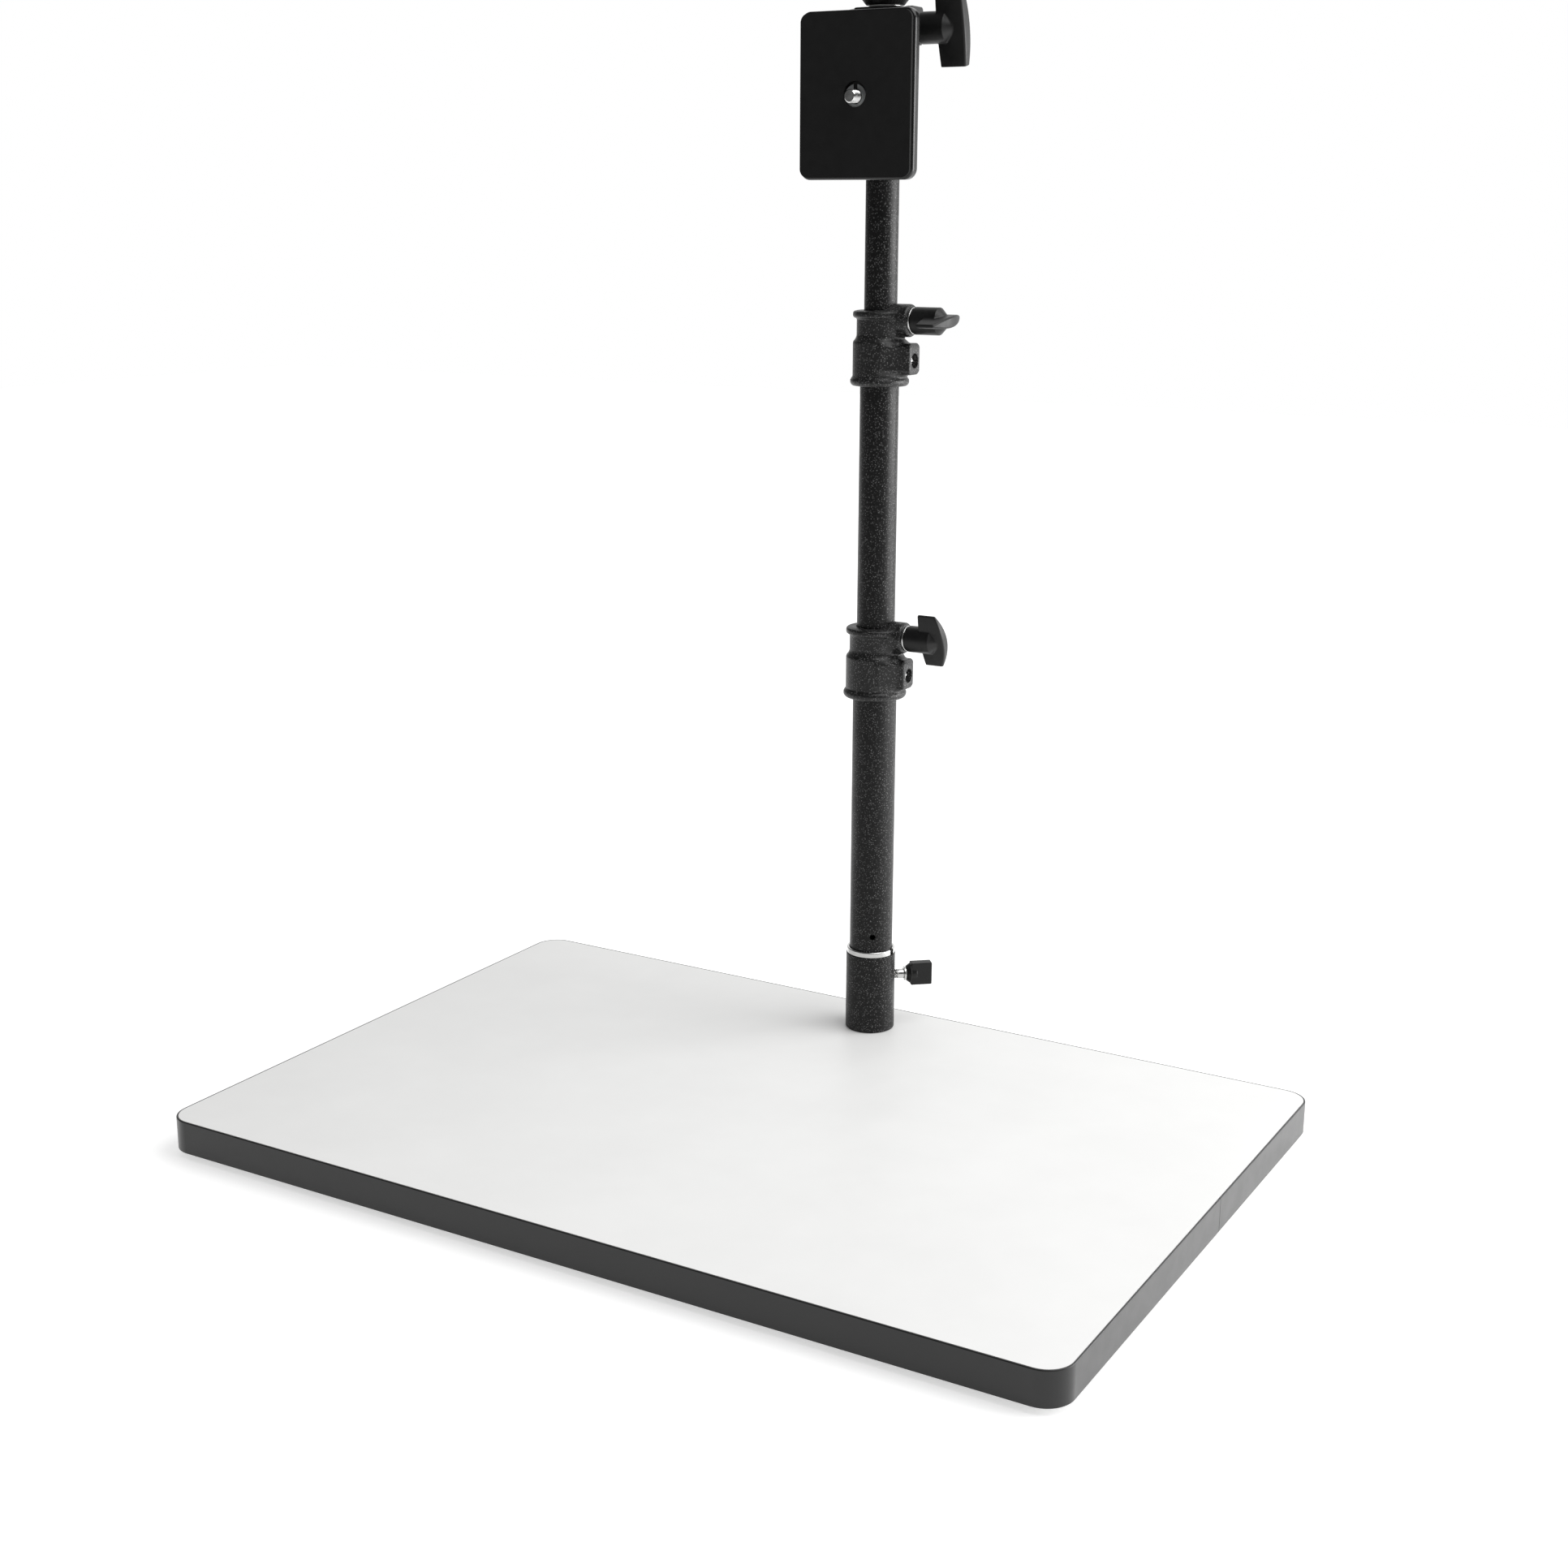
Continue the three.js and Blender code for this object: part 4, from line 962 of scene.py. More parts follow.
def make_socket_bolt():
    low, high = reach("socket_bolt")
    washer_low, washer_high = reach("socket_bolt_washer")
    ring = washer("bolt_washer", BOLT_RADIUS + SCREW_GAP, radius_of("socket_bolt_washer"),
                  washer_low[2], washer_high[2], THIN_WASHER_EDGE)
    dress(smoothed(moved(ring, y=column_y)), "socket_bolt_washer")
    head_top = washer_low[2] - SEAT_GAP
    across_flats = min(high[0] - low[0], high[1] - low[1])

    def bolt(points):
        x, y, z = points[..., 0], points[..., 1] - column_y, points[..., 2]
        across = np.hypot(x, y)
        head = met(hexagon(y, x, across_flats), between(z, low[2], head_top), BOLT_HEAD_EDGE)
        chamfer = across + (low[2] - z) * BOLT_CHAMFER_RUN - across_flats / 2
        head = np.maximum(head, chamfer / BOLT_CHAMFER_EASE)
        shank = bar(across, z, BOLT_RADIUS, low[2], high[2], BOLT_TIP_ROUND)
        return fused(head, shank, BOLT_FILLET)

    dress(moulded("socket_hex_bolt", bolt, low, high, BOLT_CELL), "socket_bolt")


# Column tubes

def make_tubes():
    spigot_z = tube_top - SPIGOT_SCREW_DROP
    screw_hole = COLLAR_SCREW_RADIUS + SCREW_GAP
    holes = {
        "lower_tube": [(VENT_RADIUS, VENT_HEIGHT, VENT_HEADING),
                       (screw_hole, reach("lower_collar")[0][2] + SCREW_AXIS, 0)],
        "middle_tube": [(screw_hole, reach("upper_collar")[0][2] + SCREW_AXIS, 0)],
        "upper_tube": [(SPIGOT_SCREW_RADIUS + SCREW_GAP, spigot_z, 0)],
    }
    for node, drilled in holes.items():
        low, high = reach(node)
        radius = radius_of(node)
        inner = radius - TUBE_WALL
        end = TUBE_END_ROUND
        tube = turned(node + "_drawn", [
            (inner, low[2], end), (radius, low[2], end), (radius, high[2], end), (inner, high[2], end),
        ], closed=True, sides=TUBE_SIDES)
        drills = []
        for hole, height, angle in drilled:
            sink = hole + HOLE_SINK
            drill = turned("drill", [
                (0, 0, 0),
                (hole, 0, 0),
                (hole, radius - 2 * HOLE_SINK, 0),
                (sink, radius - HOLE_SINK / 2, HOLE_ROUND),
                (sink, radius + OVERRUN, 0),
                (0, radius + OVERRUN, 0),
            ], sides=HOLE_SIDES)
            drills.append(moved(drill, z=height, turn=heading(angle)))
        dress(smoothed(moved(cut_by(tube, *drills), y=column_y)), node)


# Clamp collars

def make_collar(name, outer, inner):
    node = name + "_collar"
    low, high = reach(node)
    base = low[2]
    lower_barrel = outer + LOWER_WALL
    upper_barrel = inner + UPPER_WALL
    collar_top = RIM_LOW + RIM_HEIGHT
    step_rise, step_in = STEP_HIGH - STEP_LOW, lower_barrel - upper_barrel
    step_length = math.hypot(step_rise, step_in)
    head_seat = SCREW_BOSS_FACE - COLLAR_SCREW_SINK - COLLAR_SCREW_HEAD_HEIGHT - SEAT_GAP
    half_face = SCREW_BOSS_WIDTH / 2
    meeting = (math.atan2(half_face, SCREW_BOSS_FACE)
               + math.acos(lower_barrel / math.hypot(half_face, SCREW_BOSS_FACE)))
    flank_low = SCREW_BOSS_MIDDLE - SCREW_BOSS_HEIGHT / 2 + SCREW_BOSS_CORNER
    flank_high = SCREW_BOSS_MIDDLE + SCREW_BOSS_HEIGHT / 2 - SCREW_BOSS_CORNER

    def collar(points):
        x, y, z = points[..., 0], points[..., 1] - column_y, points[..., 2] - base
        from_column = np.hypot(x, y)
        from_knob = np.hypot(y, z - KNOB_AXIS)
        from_screw = np.hypot(y, z - SCREW_AXIS)
        step = ((z - STEP_LOW) * step_in + (from_column - lower_barrel) * step_rise) / step_length
        barrel = met(met(from_column - lower_barrel, step, COLLAR_EDGE), -z, COLLAR_EDGE)
        neck = met(from_column - upper_barrel, between(z, 0, collar_top), COLLAR_EDGE)
        body = fused(barrel, neck, COLLAR_FILLET)
        flange = bar(from_column, z, lower_barrel + FLANGE_LIP, 0, FLANGE_HEIGHT, FLANGE_ROUND)
        body = fused(body, flange, COLLAR_FILLET)
        rim = bar(from_column, z, upper_barrel + RIM_LIP, RIM_LOW, collar_top, RIM_ROUND)
        body = fused(body, rim, COLLAR_FILLET)
        knob_boss = bar(from_knob, x, KNOB_BOSS_RADIUS, 0, KNOB_BOSS_FACE, KNOB_BOSS_ROUND)
        body = fused(body, knob_boss, BOSS_FILLET)
        screw_boss = met(pane(y, z - SCREW_BOSS_MIDDLE, SCREW_BOSS_WIDTH / 2, SCREW_BOSS_HEIGHT / 2,
                              SCREW_BOSS_CORNER), between(x, 0, SCREW_BOSS_FACE), COLLAR_EDGE)
        flank = met(x * math.cos(meeting) + np.abs(y) * math.sin(meeting) - lower_barrel,
                    between(x, lower_barrel * math.cos(meeting), SCREW_BOSS_FACE), COLLAR_EDGE)
        flank = met(flank, between(z, flank_low, flank_high), COLLAR_EDGE)
        screw_boss = fused(screw_boss, flank, SCREW_BOSS_CORNER)
        body = fused(body, screw_boss, BOSS_FILLET)
        room = np.minimum(np.maximum(from_column - inner - SLIDE_GAP, COLLAR_SHOULDER - z - LAP),
                          np.maximum(from_column - outer - SLIDE_GAP, z - COLLAR_SHOULDER))
        body = hollowed(body, room, COLLAR_EDGE / 2)
        pocket = np.maximum(hexagon(y, z - KNOB_AXIS, NUT_ACROSS + 2 * SCREW_GAP),
                            between(x, 0, inner + NUT_POCKET))
        body = hollowed(body, pocket, BORE_EDGE)
        stud_room = bar(from_knob, x, STUD_RADIUS + 2 * SCREW_GAP, 0, SCREW_BOSS_FACE + OVERRUN,
                        BORE_EDGE)
        body = hollowed(body, stud_room, STUD_HOLE_EDGE)
        shank_room = bar(from_screw, x, COLLAR_SCREW_RADIUS + SCREW_GAP, 0, SCREW_BOSS_FACE,
                         BORE_EDGE)
        body = hollowed(body, shank_room, BORE_EDGE)
        head_room = bar(from_screw, x, COLLAR_SCREW_HEAD_RADIUS + SCREW_GAP, head_seat,
                        SCREW_BOSS_FACE + OVERRUN, BORE_EDGE)
        return hollowed(body, head_room, HOLE_MOUTH_EDGE)

    dress(moulded(node + "_moulding", collar, low, high, COLLAR_CELL), node)
    make_cross_screw(node + "_screw", COLLAR_SCREW_RADIUS, COLLAR_SCREW_HEAD_RADIUS,
                     COLLAR_SCREW_HEAD_HEIGHT, base + SCREW_AXIS, 1)


def make_cross_screw(node, radius, head_radius, head_height, level, side):
    """A domed screw with a cross slot. It lies along X, with its head towards +X where side is 1 and
    towards -X where side is -1."""
    low, high = reach(node)
    tip, end = (low[0], high[0]) if side > 0 else (-high[0], -low[0])

    def screw(points):
        x, y, z = side * points[..., 0], points[..., 1] - column_y, points[..., 2] - level
        across = np.hypot(y, z)
        dome = (across ** 2) / (2 * DOME_RADIUS_SHARE * head_radius)
        head = met(across - head_radius, between(x + dome * DOME_FALL_SHARE, end - head_height, end),
                   SCREW_HEAD_EDGE)
        head = np.maximum(head, end - head_height - x)
        shank = bar(across, x, radius, tip, end - head_height / 2, SCREW_TIP_EDGE)
        body = np.minimum(head, shank)
        slot_floor = end - CROSS_DEPTH + across * CROSS_SLOPE
        slots = np.minimum(pane(y, z, CROSS_LENGTH / 2, CROSS_WIDTH / 2, CROSS_EDGE),
                           pane(y, z, CROSS_WIDTH / 2, CROSS_LENGTH / 2, CROSS_EDGE))
        return hollowed(body, np.maximum(slots, slot_floor - x), CROSS_EDGE)

    dress(moulded(node + "_cross_head", screw, low, high, SCREW_CELL), node)


def make_t_knob(node, knob, turn):
    low, high = reach(node)
    start = low[0]
    axis_y, axis_z = middle(node)[1:]
    collar_end = knob["collar_length"] + knob["radius"] - knob["middle"] / 2

    def t_knob(points):
        x, y, z = points[..., 0] - start, points[..., 1] - axis_y, points[..., 2] - axis_z
        along = z * math.cos(turn) - y * math.sin(turn)
        thick = y * math.cos(turn) + z * math.sin(turn)
        across = np.hypot(y, z)
        rise = 1 - (2 * along / knob["length"]) ** 2
        crown = knob["wing_end"] + (knob["crown"] - knob["wing_end"]) * rise
        half = (knob["tip"] + (knob["middle"] - knob["tip"]) * rise) / 2
        wing = met(x - crown, np.abs(thick) - half, KNOB_CROWN_EDGE)
        wing = met(wing, knob["wing_start"] - x, KNOB_EDGE)
        wing = met(wing, np.abs(along) - knob["length"] / 2, KNOB_EDGE)
        shoulder = across - knob["radius"] + np.maximum(x - knob["collar_length"], 0)
        collar = met(shoulder, between(x, knob["neck_length"], collar_end), KNOB_EDGE)
        neck = bar(across, x, knob["neck_radius"], 0, knob["neck_length"] + LAP, KNOB_NECK_EDGE)
        body = fused(fused(collar, wing, KNOB_FILLET), neck, KNOB_NECK_FILLET)
        bore = bar(across, x, STUD_RADIUS + SCREW_GAP, -OVERRUN, STUD_INTO_KNOB + SEAT_GAP, BORE_EDGE)
        return hollowed(body, bore, KNOB_BORE_EDGE)

    dress(moulded(node + "_moulding", t_knob, low, high, KNOB_CELL), node)


def make_stud(node, hidden_end):
    low, high = reach(node)
    centre = middle(node)
    stud = threaded(node + "_thread", STUD_RADIUS, STUD_PITCH, low[0], high[0], low[0], hidden_end)
    dress(smoothed(moved(stud, y=centre[1], z=centre[2], turn=ALONG_X)), node)


def make_stud_washer(node):
    low, high = reach(node)
    centre = middle(node)
    ring = washer(node + "_ring", STUD_RADIUS + SCREW_GAP, (high[2] - low[2]) / 2, low[0], high[0],
                  WASHER_EDGE)
    dress(smoothed(moved(ring, y=centre[1], z=centre[2], turn=ALONG_X)), node)


def make_clamps():
    make_collar("lower", lower_radius, middle_radius)
    make_collar("upper", middle_radius, upper_radius)
    for name, turn in [("lower", LOWER_KNOB_TURN), ("upper", UPPER_KNOB_TURN)]:
        make_stud_washer(name + "_clamp_washer")
        make_stud(name + "_clamp_stud", reach(name + "_clamp_knob")[1][0])
        make_t_knob(name + "_clamp_knob", CLAMP_KNOB, turn)


# Head

def make_spigot():
    shoulder_low = tube_top + SEAT_GAP
    spigot = turned("pan_post", [
        (0, tube_top - SPIGOT_DEPTH, 0),
        (SPIGOT_PLUG_RADIUS, tube_top - SPIGOT_DEPTH, SPIGOT_END_ROUND),
        (SPIGOT_PLUG_RADIUS, shoulder_low, 0),
        (upper_radius, shoulder_low, SHOULDER_EDGE),
        (upper_radius, tube_top + SPIGOT_SHOULDER, SHOULDER_ROUND),
        (POST_RADIUS, tube_top + SPIGOT_SHOULDER, POST_FILLET),
        (POST_RADIUS, tube_top + POST_TOP, POST_END_ROUND),
        (0, tube_top + POST_TOP, 0),
    ])
    level = tube_top - SPIGOT_SCREW_DROP
    room = round_bar("room", SPIGOT_SCREW_RADIUS + SCREW_GAP, 0, lower_radius, sides=HOLE_SIDES)
    moved(room, z=level, turn=ALONG_X)
    dress(smoothed(moved(cut_by(spigot, room), y=column_y)), "head_spigot")

    low, high = reach("spigot_screw")
    seat = high[0] - SPIGOT_SCREW_HEAD
    screw = turned("spigot_screw_dome", [
        (0, low[0], 0),
        (SPIGOT_SCREW_RADIUS, low[0], SCREW_TIP_EDGE),
        (SPIGOT_SCREW_RADIUS, seat, 0),
        (SPIGOT_SCREW_HEAD_RADIUS, seat, SPIGOT_SCREW_RIM),
        (SPIGOT_SCREW_HEAD_RADIUS, high[0], SPIGOT_SCREW_DOME),
        (SPIGOT_SCREW_HEAD_RADIUS / 3, high[0], SPIGOT_DIMPLE_LIP),
        (SPIGOT_SCREW_HEAD_RADIUS / 4, high[0] - SPIGOT_DIMPLE_DEPTH, SPIGOT_DIMPLE_ROUND),
        (0, high[0] - SPIGOT_DIMPLE_DEPTH, 0),
    ])
    dress(smoothed(moved(screw, y=column_y, z=level, turn=ALONG_X)), "spigot_screw")


def make_post_washers():
    for node, edge in [("pan_washer", WASHER_EDGE), ("pan_knob_washer", THIN_WASHER_EDGE)]:
        low, high = reach(node)
        ring = washer(node + "_ring", POST_RADIUS + SCREW_GAP, radius_of(node), low[2], high[2], edge)
        dress(smoothed(moved(ring, y=column_y)), node)


def make_head_body():
    low, high = reach("head_body")
    half_width = (high[0] - low[0]) / 2
    half_depth = (high[1] - low[1]) / 2
    base_top = low[2] + HEAD_BASE_HEIGHT

    def body_form(points):
        x, y, z = points[..., 0], points[..., 1] - column_y, points[..., 2]
        across = np.hypot(x, y)
        block_form = met(pane(x, y, half_width, half_depth, HEAD_CORNER),
                         between(z, base_top, high[2]), HEAD_EDGE)
        cone = across - HEAD_BASE_RADIUS + np.maximum(low[2] + HEAD_BASE_TAPER - z, 0)
        base = met(cone / HEAD_CONE_EASE, between(z, low[2], base_top + HEAD_BASE_TAPER), HEAD_EDGE)
        whole = fused(block_form, met(base, np.abs(y) - half_depth, HEAD_EDGE), HEAD_FILLET)
        post_room = across - POST_RADIUS - SCREW_GAP
        stud_room = np.maximum(np.hypot(y, z - tilt_z) - STUD_RADIUS - SCREW_GAP,
                               half_width - TRUNNION_DEPTH - np.abs(x))
        return hollowed(whole, np.minimum(post_room, stud_room), HOLE_MOUTH_EDGE)

    dress(moulded("pan_head_casting", body_form, low, high, HEAD_CELL), "head_body")


def make_pan_knob():
    low, high = reach("pan_lock_knob")
    base = low[2]
    grip_middle = (PAN_KNOB_FLARE_TOP + PAN_KNOB_GRIP_TOP) / 2
    grip_half = (PAN_KNOB_GRIP_TOP - PAN_KNOB_FLARE_TOP) / 2 + PAN_KNOB_RIB_RUNOUT
    corners = [
        (0, PAN_KNOB_BORE, 0),
        (POST_RADIUS + SCREW_GAP, PAN_KNOB_BORE, BORE_EDGE),
        (POST_RADIUS + SCREW_GAP, 0, PAN_KNOB_MOUTH_EDGE),
        (PAN_KNOB_NECK, 0, PAN_KNOB_NECK_EDGE),
        (PAN_KNOB_RADIUS, PAN_KNOB_FLARE_TOP, PAN_KNOB_FLARE_ROUND),
        (PAN_KNOB_RADIUS, grip_middle, 0),
        (PAN_KNOB_RADIUS, PAN_KNOB_GRIP_TOP, PAN_KNOB_GRIP_ROUND),
        (PAN_KNOB_CROWN, high[2] - base, PAN_KNOB_CROWN_ROUND),
        (0, high[2] - base, 0),
    ]

    def ribbed(radius, level, angle):
        share = max(0, 1 - abs(level - grip_middle) / grip_half) if radius > PAN_KNOB_NECK else 0
        return radius - PAN_KNOB_RIB_DEPTH * min(1, 2 * share) * ripple(PAN_KNOB_RIBS, angle)

    knob = turned("pan_knob_ribbed", corners, sides=PAN_KNOB_RIBS * RIB_SIDES, ribbed=ribbed)
    dress(smoothed(moved(knob, y=column_y, z=base)), "pan_lock_knob")


def make_bracket():
    low, high = reach("tilt_bracket")
    half_width = (high[0] - low[0]) / 2
    sheet_top = tilt_z + PLATFORM_TOP
    half_height = (sheet_top - low[2]) / 2
    centre_z = (sheet_top + low[2]) / 2
    front, back = low[1], low[1] + PLATFORM_THICKNESS
    ear_front = (front + back) / 2
    ear_middle = (EAR_ABOVE - EAR_BELOW) / 2
    slope_run = column_y + EAR_SLOPE_START - ear_front
    slope_rise = EAR_ABOVE - EAR_AT_PLATE
    slope_length = math.hypot(slope_run, slope_rise)
    ear_outer = reach("tilt_washer")[0][0] - SEAT_GAP
    screw_z = tilt_z - CAMERA_SCREW_DROP

    def bracket(points):
        x, y, z = points[..., 0], points[..., 1], points[..., 2]
        sheet = met(pane(x, z - centre_z, half_width, half_height, PLATFORM_CORNER),
                    between(y, front, back), PLATFORM_EDGE)
        from_tilt = np.hypot(y - column_y, z - tilt_z)
        ear = pane(y - (ear_front + high[1]) / 2, z - tilt_z - ear_middle, (high[1] - ear_front) / 2,
                   (EAR_ABOVE + EAR_BELOW) / 2, EAR_CORNER)
        over_slope = (z - tilt_z - EAR_AT_PLATE) * slope_run - (y - ear_front) * slope_rise
        ears = met(np.maximum(ear, over_slope / slope_length),
                   between(np.abs(x), ear_outer - EAR_THICKNESS, ear_outer), EAR_EDGE)
        whole = fused(sheet, ears, PLATFORM_FILLET)
        whole = np.maximum(whole, front - y)
        pivot_room = from_tilt - STUD_RADIUS - SCREW_GAP
        screw_room = np.hypot(x, z - screw_z) - CAMERA_SCREW_RADIUS - SCREW_GAP
        return hollowed(whole, np.minimum(pivot_room, screw_room), HOLE_MOUTH_EDGE)

    dress(moulded("tilt_platform_casting", bracket, low, high, PLATFORM_CELL, PLATFORM_KEPT_SHARE),
          "tilt_bracket")


def make_pad():
    low, high = reach("platform_pad")
    half_x, half_z = (high[0] - low[0]) / 2, (high[2] - low[2]) / 2
    centre_z = middle("platform_pad")[2]
    depth = high[1] - low[1]
    pad = slab("platform_rubber", half_x, half_z, PLATFORM_CORNER - PAD_INSET,
               [(0, 0, 0), (0, depth, 0)])
    room = round_bar("room", CLIP_RADIUS + 2 * SCREW_GAP, -OVERRUN, depth + OVERRUN)
    moved(room, y=centre_z - tilt_z + CAMERA_SCREW_DROP)
    cut_by(pad, room)
    dress(smoothed(moved(pad, y=high[1], z=centre_z, turn=FACING_FRONT)), "platform_pad")


def make_platform_screw():
    low, high = reach("camera_screw")
    level = tilt_z - CAMERA_SCREW_DROP
    thread = threaded("camera_thread", CAMERA_SCREW_RADIUS, CAMERA_SCREW_PITCH,
                      -(high[1] - CAMERA_SCREW_HEAD_HEIGHT / 2), -low[1],
                      -(high[1] - CAMERA_SCREW_HEAD_HEIGHT), -low[1] + OVERRUN)
    head_low, head_high = -high[1], -high[1] + CAMERA_SCREW_HEAD_HEIGHT

    def knurled(radius, height, angle):
        share = 1 if radius > CAMERA_SCREW_HEAD_RADIUS * CAMERA_SCREW_RIM_SHARE else 0
        return radius - share * CAMERA_SCREW_KNURL_DEPTH * ripple(CAMERA_SCREW_KNURLS, angle)

    head = turned("camera_screw_knurled", [
        (0, head_low, 0),
        (CAMERA_SCREW_HEAD_RADIUS, head_low, CAMERA_SCREW_HEAD_ROUND),
        (CAMERA_SCREW_HEAD_RADIUS, head_high, CAMERA_SCREW_HEAD_ROUND),
        (0, head_high, 0),
    ], sides=CAMERA_SCREW_KNURLS * KNURL_SIDES, ribbed=knurled)
    slot = block("slot",
                 (-CAMERA_SCREW_HEAD_RADIUS, -CAMERA_SCREW_SLOT_WIDTH / 2, head_low - OVERRUN),
                 (CAMERA_SCREW_HEAD_RADIUS, CAMERA_SCREW_SLOT_WIDTH / 2,
                  head_low + CAMERA_SCREW_SLOT_DEPTH))
    cut_by(head, slot)
    form = bmesh.new()
    form.from_mesh(head.data)
    form.from_mesh(thread.data)
    form.to_mesh(head.data)
    form.free()
    bpy.data.objects.remove(thread)
    dress(smoothed(moved(head, z=level, turn=FACING_FRONT)), "camera_screw")

    low, high = reach("camera_screw_clip")
    clip = washer("camera_screw_retainer", CAMERA_SCREW_RADIUS + SCREW_GAP, CLIP_RADIUS, -high[1],
                  -low[1], CLIP_EDGE)
    gap = block("gap", (-CLIP_GAP / 2, 0, -high[1] - OVERRUN),
                (CLIP_GAP / 2, CLIP_RADIUS + OVERRUN, -low[1] + OVERRUN))
    cut_by(clip, gap)
    dress(smoothed(moved(clip, z=level, turn=FACING_FRONT)), "camera_screw_clip")


def make_head():
    make_spigot()
    make_post_washers()
    make_head_body()
    make_pan_knob()
    make_bracket()
    make_pad()
    make_platform_screw()
    make_cross_screw("tilt_pivot_screw", STUD_RADIUS, PIVOT_SCREW_HEAD_RADIUS,
                     PIVOT_SCREW_HEAD_HEIGHT, tilt_z, -1)
    make_stud_washer("tilt_washer")
    make_stud("tilt_stud", reach("tilt_knob")[1][0])
    make_t_knob("tilt_knob", TILT_KNOB, TILT_KNOB_TURN)


make_board()
make_feet()
make_socket()
make_socket_screw()
make_socket_bolt()
make_tubes()
make_clamps()
make_head()


# Floor, light and camera; lengths here are in metres, and a heading is measured from +X

WHITE = "#FFFFFF"
PAPER_WHITE = "#E6E6E6"
FLOOR_SIZE = 8.0

# The floor's own glow rises from one level to the other between these distances from the stand
FLOOR_GLOW_NEAR = 0.5
FLOOR_GLOW_FAR = 0.8
GLOW_START = 0.5
GLOW_END = 2

# The sky lights the stand more from behind than from the front
WORLD_BACK = 0.72
WORLD_FRONT = 0.42
WORLD_BLEND = 0.4

# The studio's white wall, and where the dim room turns to it, on the floor and in the sky
WALL_HEADING = math.radians(86)
TO_WALL = (math.cos(WALL_HEADING), math.sin(WALL_HEADING), 0)
ROOM_DIMNESS = 0.08
FLOOR_TURN = (-0.5, 0)
SKY_TURN = (0.1, 0.8)

# The camera's place, its turn to the left, its dip and its roll in radians, and its lens in millimetres
CAMERA_PLACE = (0.49465, -0.81126, 0.43011)
CAMERA_TURN = -0.52971
CAMERA_DIP = 0.25904
CAMERA_ROLL = 0.00445
CAMERA_LENS = 49.11
CAMERA_SENSOR = 36


def towards_wall(tree, place, near, far, low, high):
    """A level that runs from low to high between two distances towards the studio's white wall."""
    along = add(tree, "VectorMath", {0: place, 1: TO_WALL}, operation="DOT_PRODUCT").outputs["Value"]
    return add(tree, "MapRange", {"Value": along, "From Min": near, "From Max": far, "To Min": low,
                                  "To Max": high}, interpolation_type="SMOOTHSTEP").outputs["Result"]


def seen_white(tree, place, near, far):
    """How white the studio looks: wholly to the camera, and in reflections only towards its white
    wall, which is behind the stand, because the rest of the room is dim."""
    path = add(tree, "LightPath").outputs
    mirrored = add(tree, "Math", {0: path["Is Glossy Ray"], 1: path["Is Transmission Ray"]},
                   operation="MAXIMUM").outputs[0]
    room = towards_wall(tree, place, near, far, ROOM_DIMNESS, 1)
    shown = add(tree, "Math", {0: mirrored, 1: room}, operation="MULTIPLY").outputs[0]
    return add(tree, "Math", {0: path["Is Camera Ray"], 1: shown}, operation="MAXIMUM").outputs[0]


def make_floor():
    mesh = bpy.data.meshes.new("studio_floor")
    half = FLOOR_SIZE / 2
    mesh.from_pydata([(-half, -half, 0), (half, -half, 0), (half, half, 0), (-half, half, 0)], [],
                     [(0, 1, 2, 3)])
    floor = bpy.data.objects.new("studio_floor", mesh)
    bpy.context.scene.collection.objects.link(floor)
    paper = bpy.data.materials.new("white_paper_sweep")
    paper.use_nodes = True
    tree = paper.node_tree
    tree.nodes.clear()
    sheet = add(tree, "BsdfDiffuse", {"Color": linear(PAPER_WHITE)})
    place = add(tree, "TexCoord").outputs["Object"]
    distance = add(tree, "VectorMath", {0: place}, operation="LENGTH").outputs["Value"]
    glow_level = add(tree, "MapRange", {"Value": distance, "From Min": GLOW_START,
                                        "From Max": GLOW_END, "To Min": FLOOR_GLOW_NEAR,
                                        "To Max": FLOOR_GLOW_FAR})
    seen = seen_white(tree, place, *FLOOR_TURN)
    lift = add(tree, "Math", {0: seen, 1: glow_level.outputs["Result"]}, operation="MULTIPLY")
    glow = add(tree, "Emission", {"Color": linear(WHITE), "Strength": lift.outputs[0]})
    both = add(tree, "AddShader", {0: sheet.outputs[0], 1: glow.outputs[0]})
    add(tree, "OutputMaterial", {"Surface": both.outputs[0]})
    mesh.materials.append(paper)


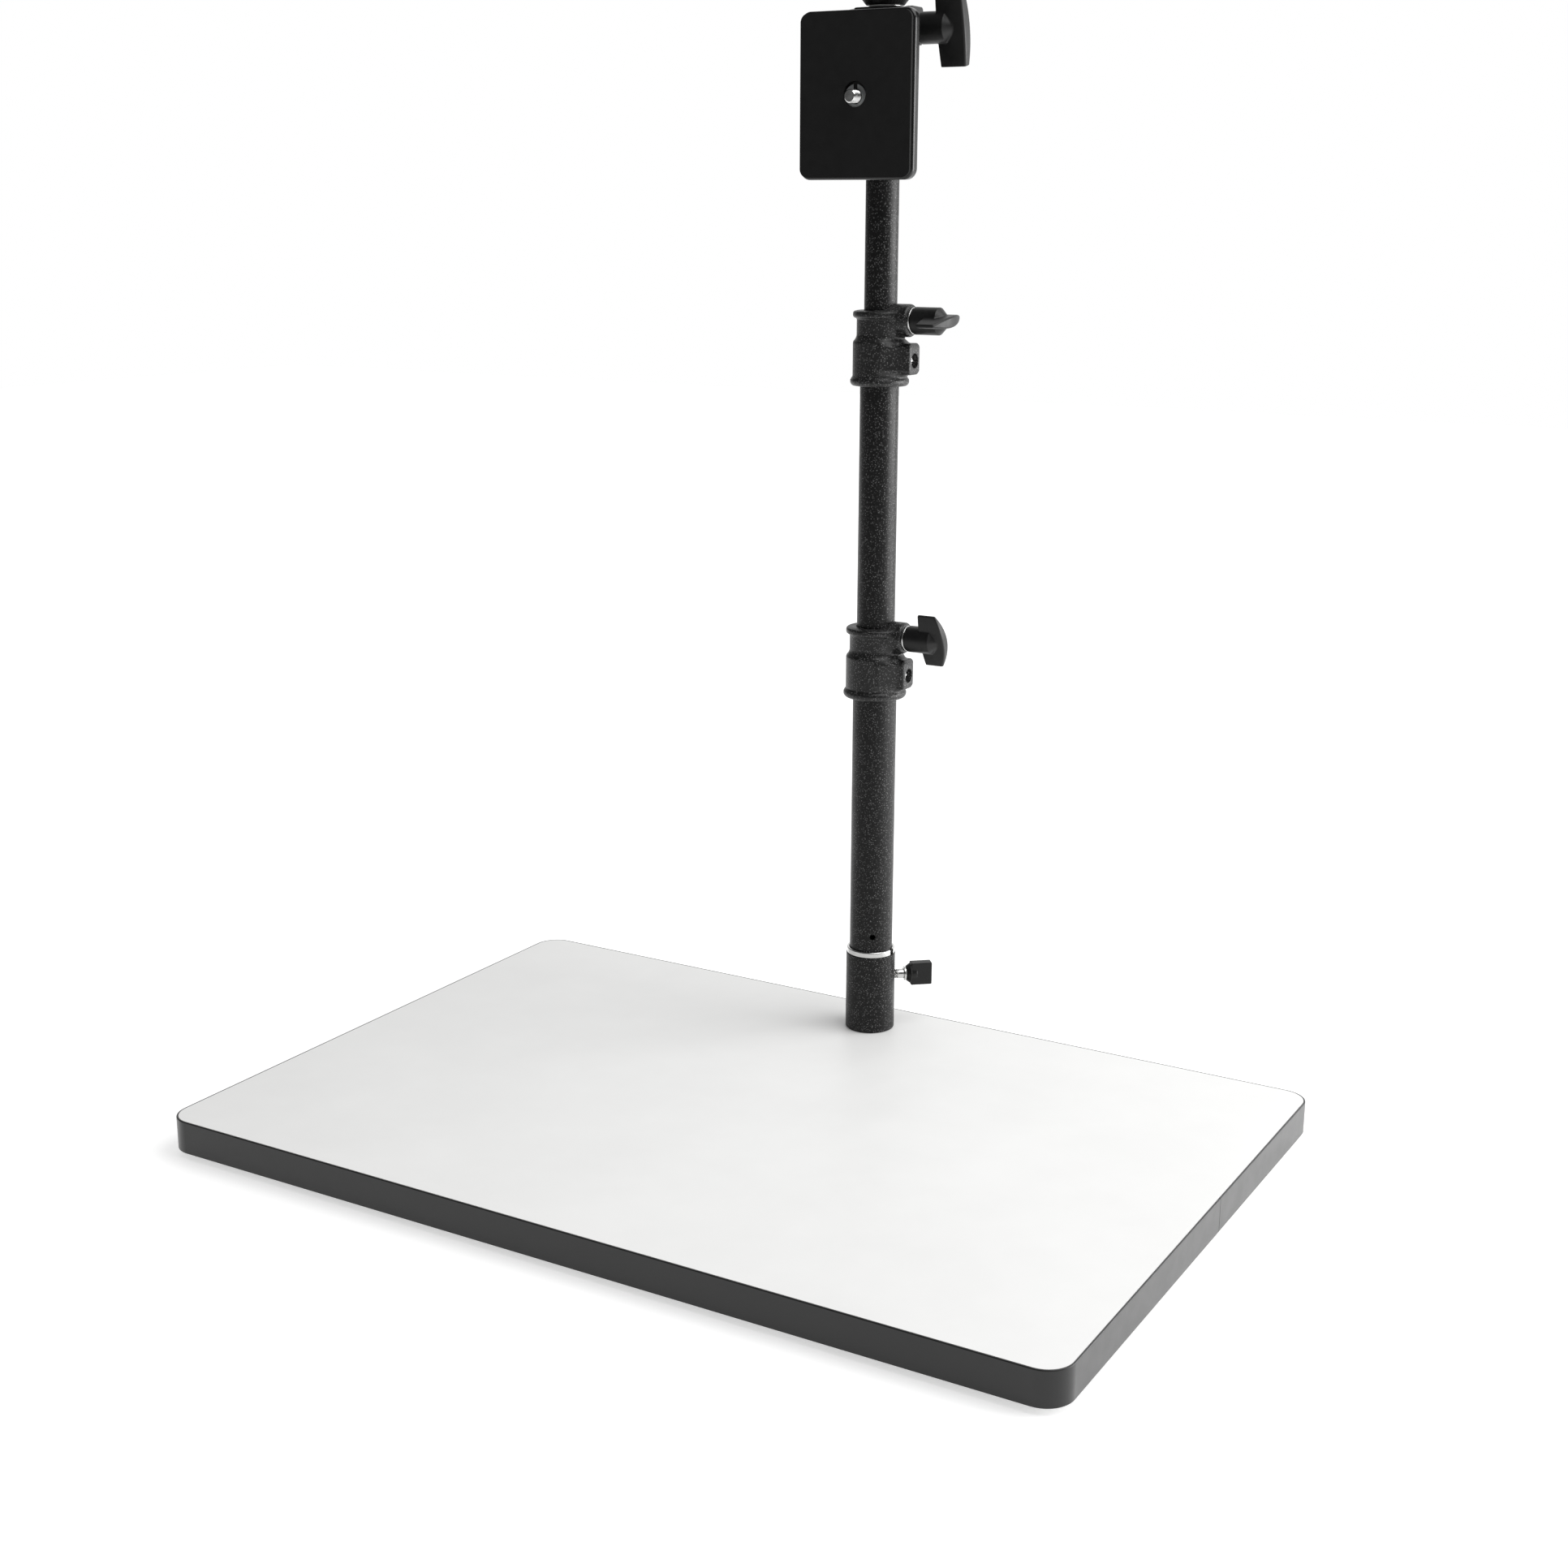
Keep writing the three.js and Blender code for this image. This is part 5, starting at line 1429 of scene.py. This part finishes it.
def make_world():
    world = bpy.data.worlds.new("studio")
    world.use_nodes = True
    tree = world.node_tree
    tree.nodes.clear()
    direction = add(tree, "TexCoord").outputs["Generated"]
    light = towards_wall(tree, direction, -WORLD_BLEND, WORLD_BLEND, WORLD_FRONT, WORLD_BACK)
    path = add(tree, "LightPath").outputs
    direct = add(tree, "Math", {0: path["Is Camera Ray"], 1: path["Is Glossy Ray"]}, operation="MAXIMUM")
    direct = add(tree, "Math", {0: direct.outputs[0], 1: path["Is Transmission Ray"]},
                 operation="MAXIMUM")
    level = add(tree, "Mix", {FACTOR: direct.outputs[0], FIRST_LEVEL: light,
                              SECOND_LEVEL: seen_white(tree, direction, *SKY_TURN)})
    sky = add(tree, "Background", {"Color": linear(WHITE), "Strength": level.outputs[0]})
    add(tree, "OutputWorld", {"Surface": sky.outputs[0]})
    bpy.context.scene.world = world


def make_softbox(name, azimuth, elevation, distance, width, height, radiance):
    """A rectangular lamp that faces the middle of the board. Its angles are in degrees, and its
    radiance is what a mirror would show."""
    lamp = bpy.data.lights.new(name, "AREA")
    lamp.shape = "RECTANGLE"
    lamp.size = width
    lamp.size_y = height
    lamp.energy = radiance * math.pi * width * height
    softbox = bpy.data.objects.new(name, lamp)
    bpy.context.scene.collection.objects.link(softbox)
    level = math.cos(math.radians(elevation))
    out = Vector((math.cos(math.radians(azimuth)) * level, math.sin(math.radians(azimuth)) * level,
                  math.sin(math.radians(elevation))))
    softbox.location = Vector((0, 0, board_top * MM)) + out * distance
    softbox.rotation_euler = out.to_track_quat("Z", "Y").to_euler()
    softbox.visible_camera = False


def make_camera():
    """The photograph's viewpoint, matched to the corners of the board."""
    level = math.cos(CAMERA_DIP)
    ahead = Vector((math.sin(CAMERA_TURN) * level, math.cos(CAMERA_TURN) * level,
                    -math.sin(CAMERA_DIP)))
    right = ahead.cross(Vector((0, 0, 1))).normalized()
    up = right.cross(ahead)
    rolled_right = right * math.cos(CAMERA_ROLL) + up * math.sin(CAMERA_ROLL)
    rolled_up = up * math.cos(CAMERA_ROLL) - right * math.sin(CAMERA_ROLL)
    lens = bpy.data.cameras.new("camera")
    lens.lens = CAMERA_LENS
    lens.sensor_width = CAMERA_SENSOR
    lens.sensor_fit = "HORIZONTAL"
    camera = bpy.data.objects.new("camera", lens)
    bpy.context.scene.collection.objects.link(camera)
    axes = Matrix((rolled_right, rolled_up, -ahead)).transposed().to_4x4()
    camera.matrix_world = Matrix.Translation(CAMERA_PLACE) @ axes
    bpy.context.scene.camera = camera


bpy.context.scene.view_settings.view_transform = "Standard"
make_camera()
make_floor()
make_world()
make_softbox("side_softbox", azimuth=30, elevation=15, distance=1.3, width=1.1, height=0.6, radiance=6)
make_softbox("top_softbox", azimuth=10, elevation=65, distance=1.1, width=0.7, height=0.7, radiance=3)
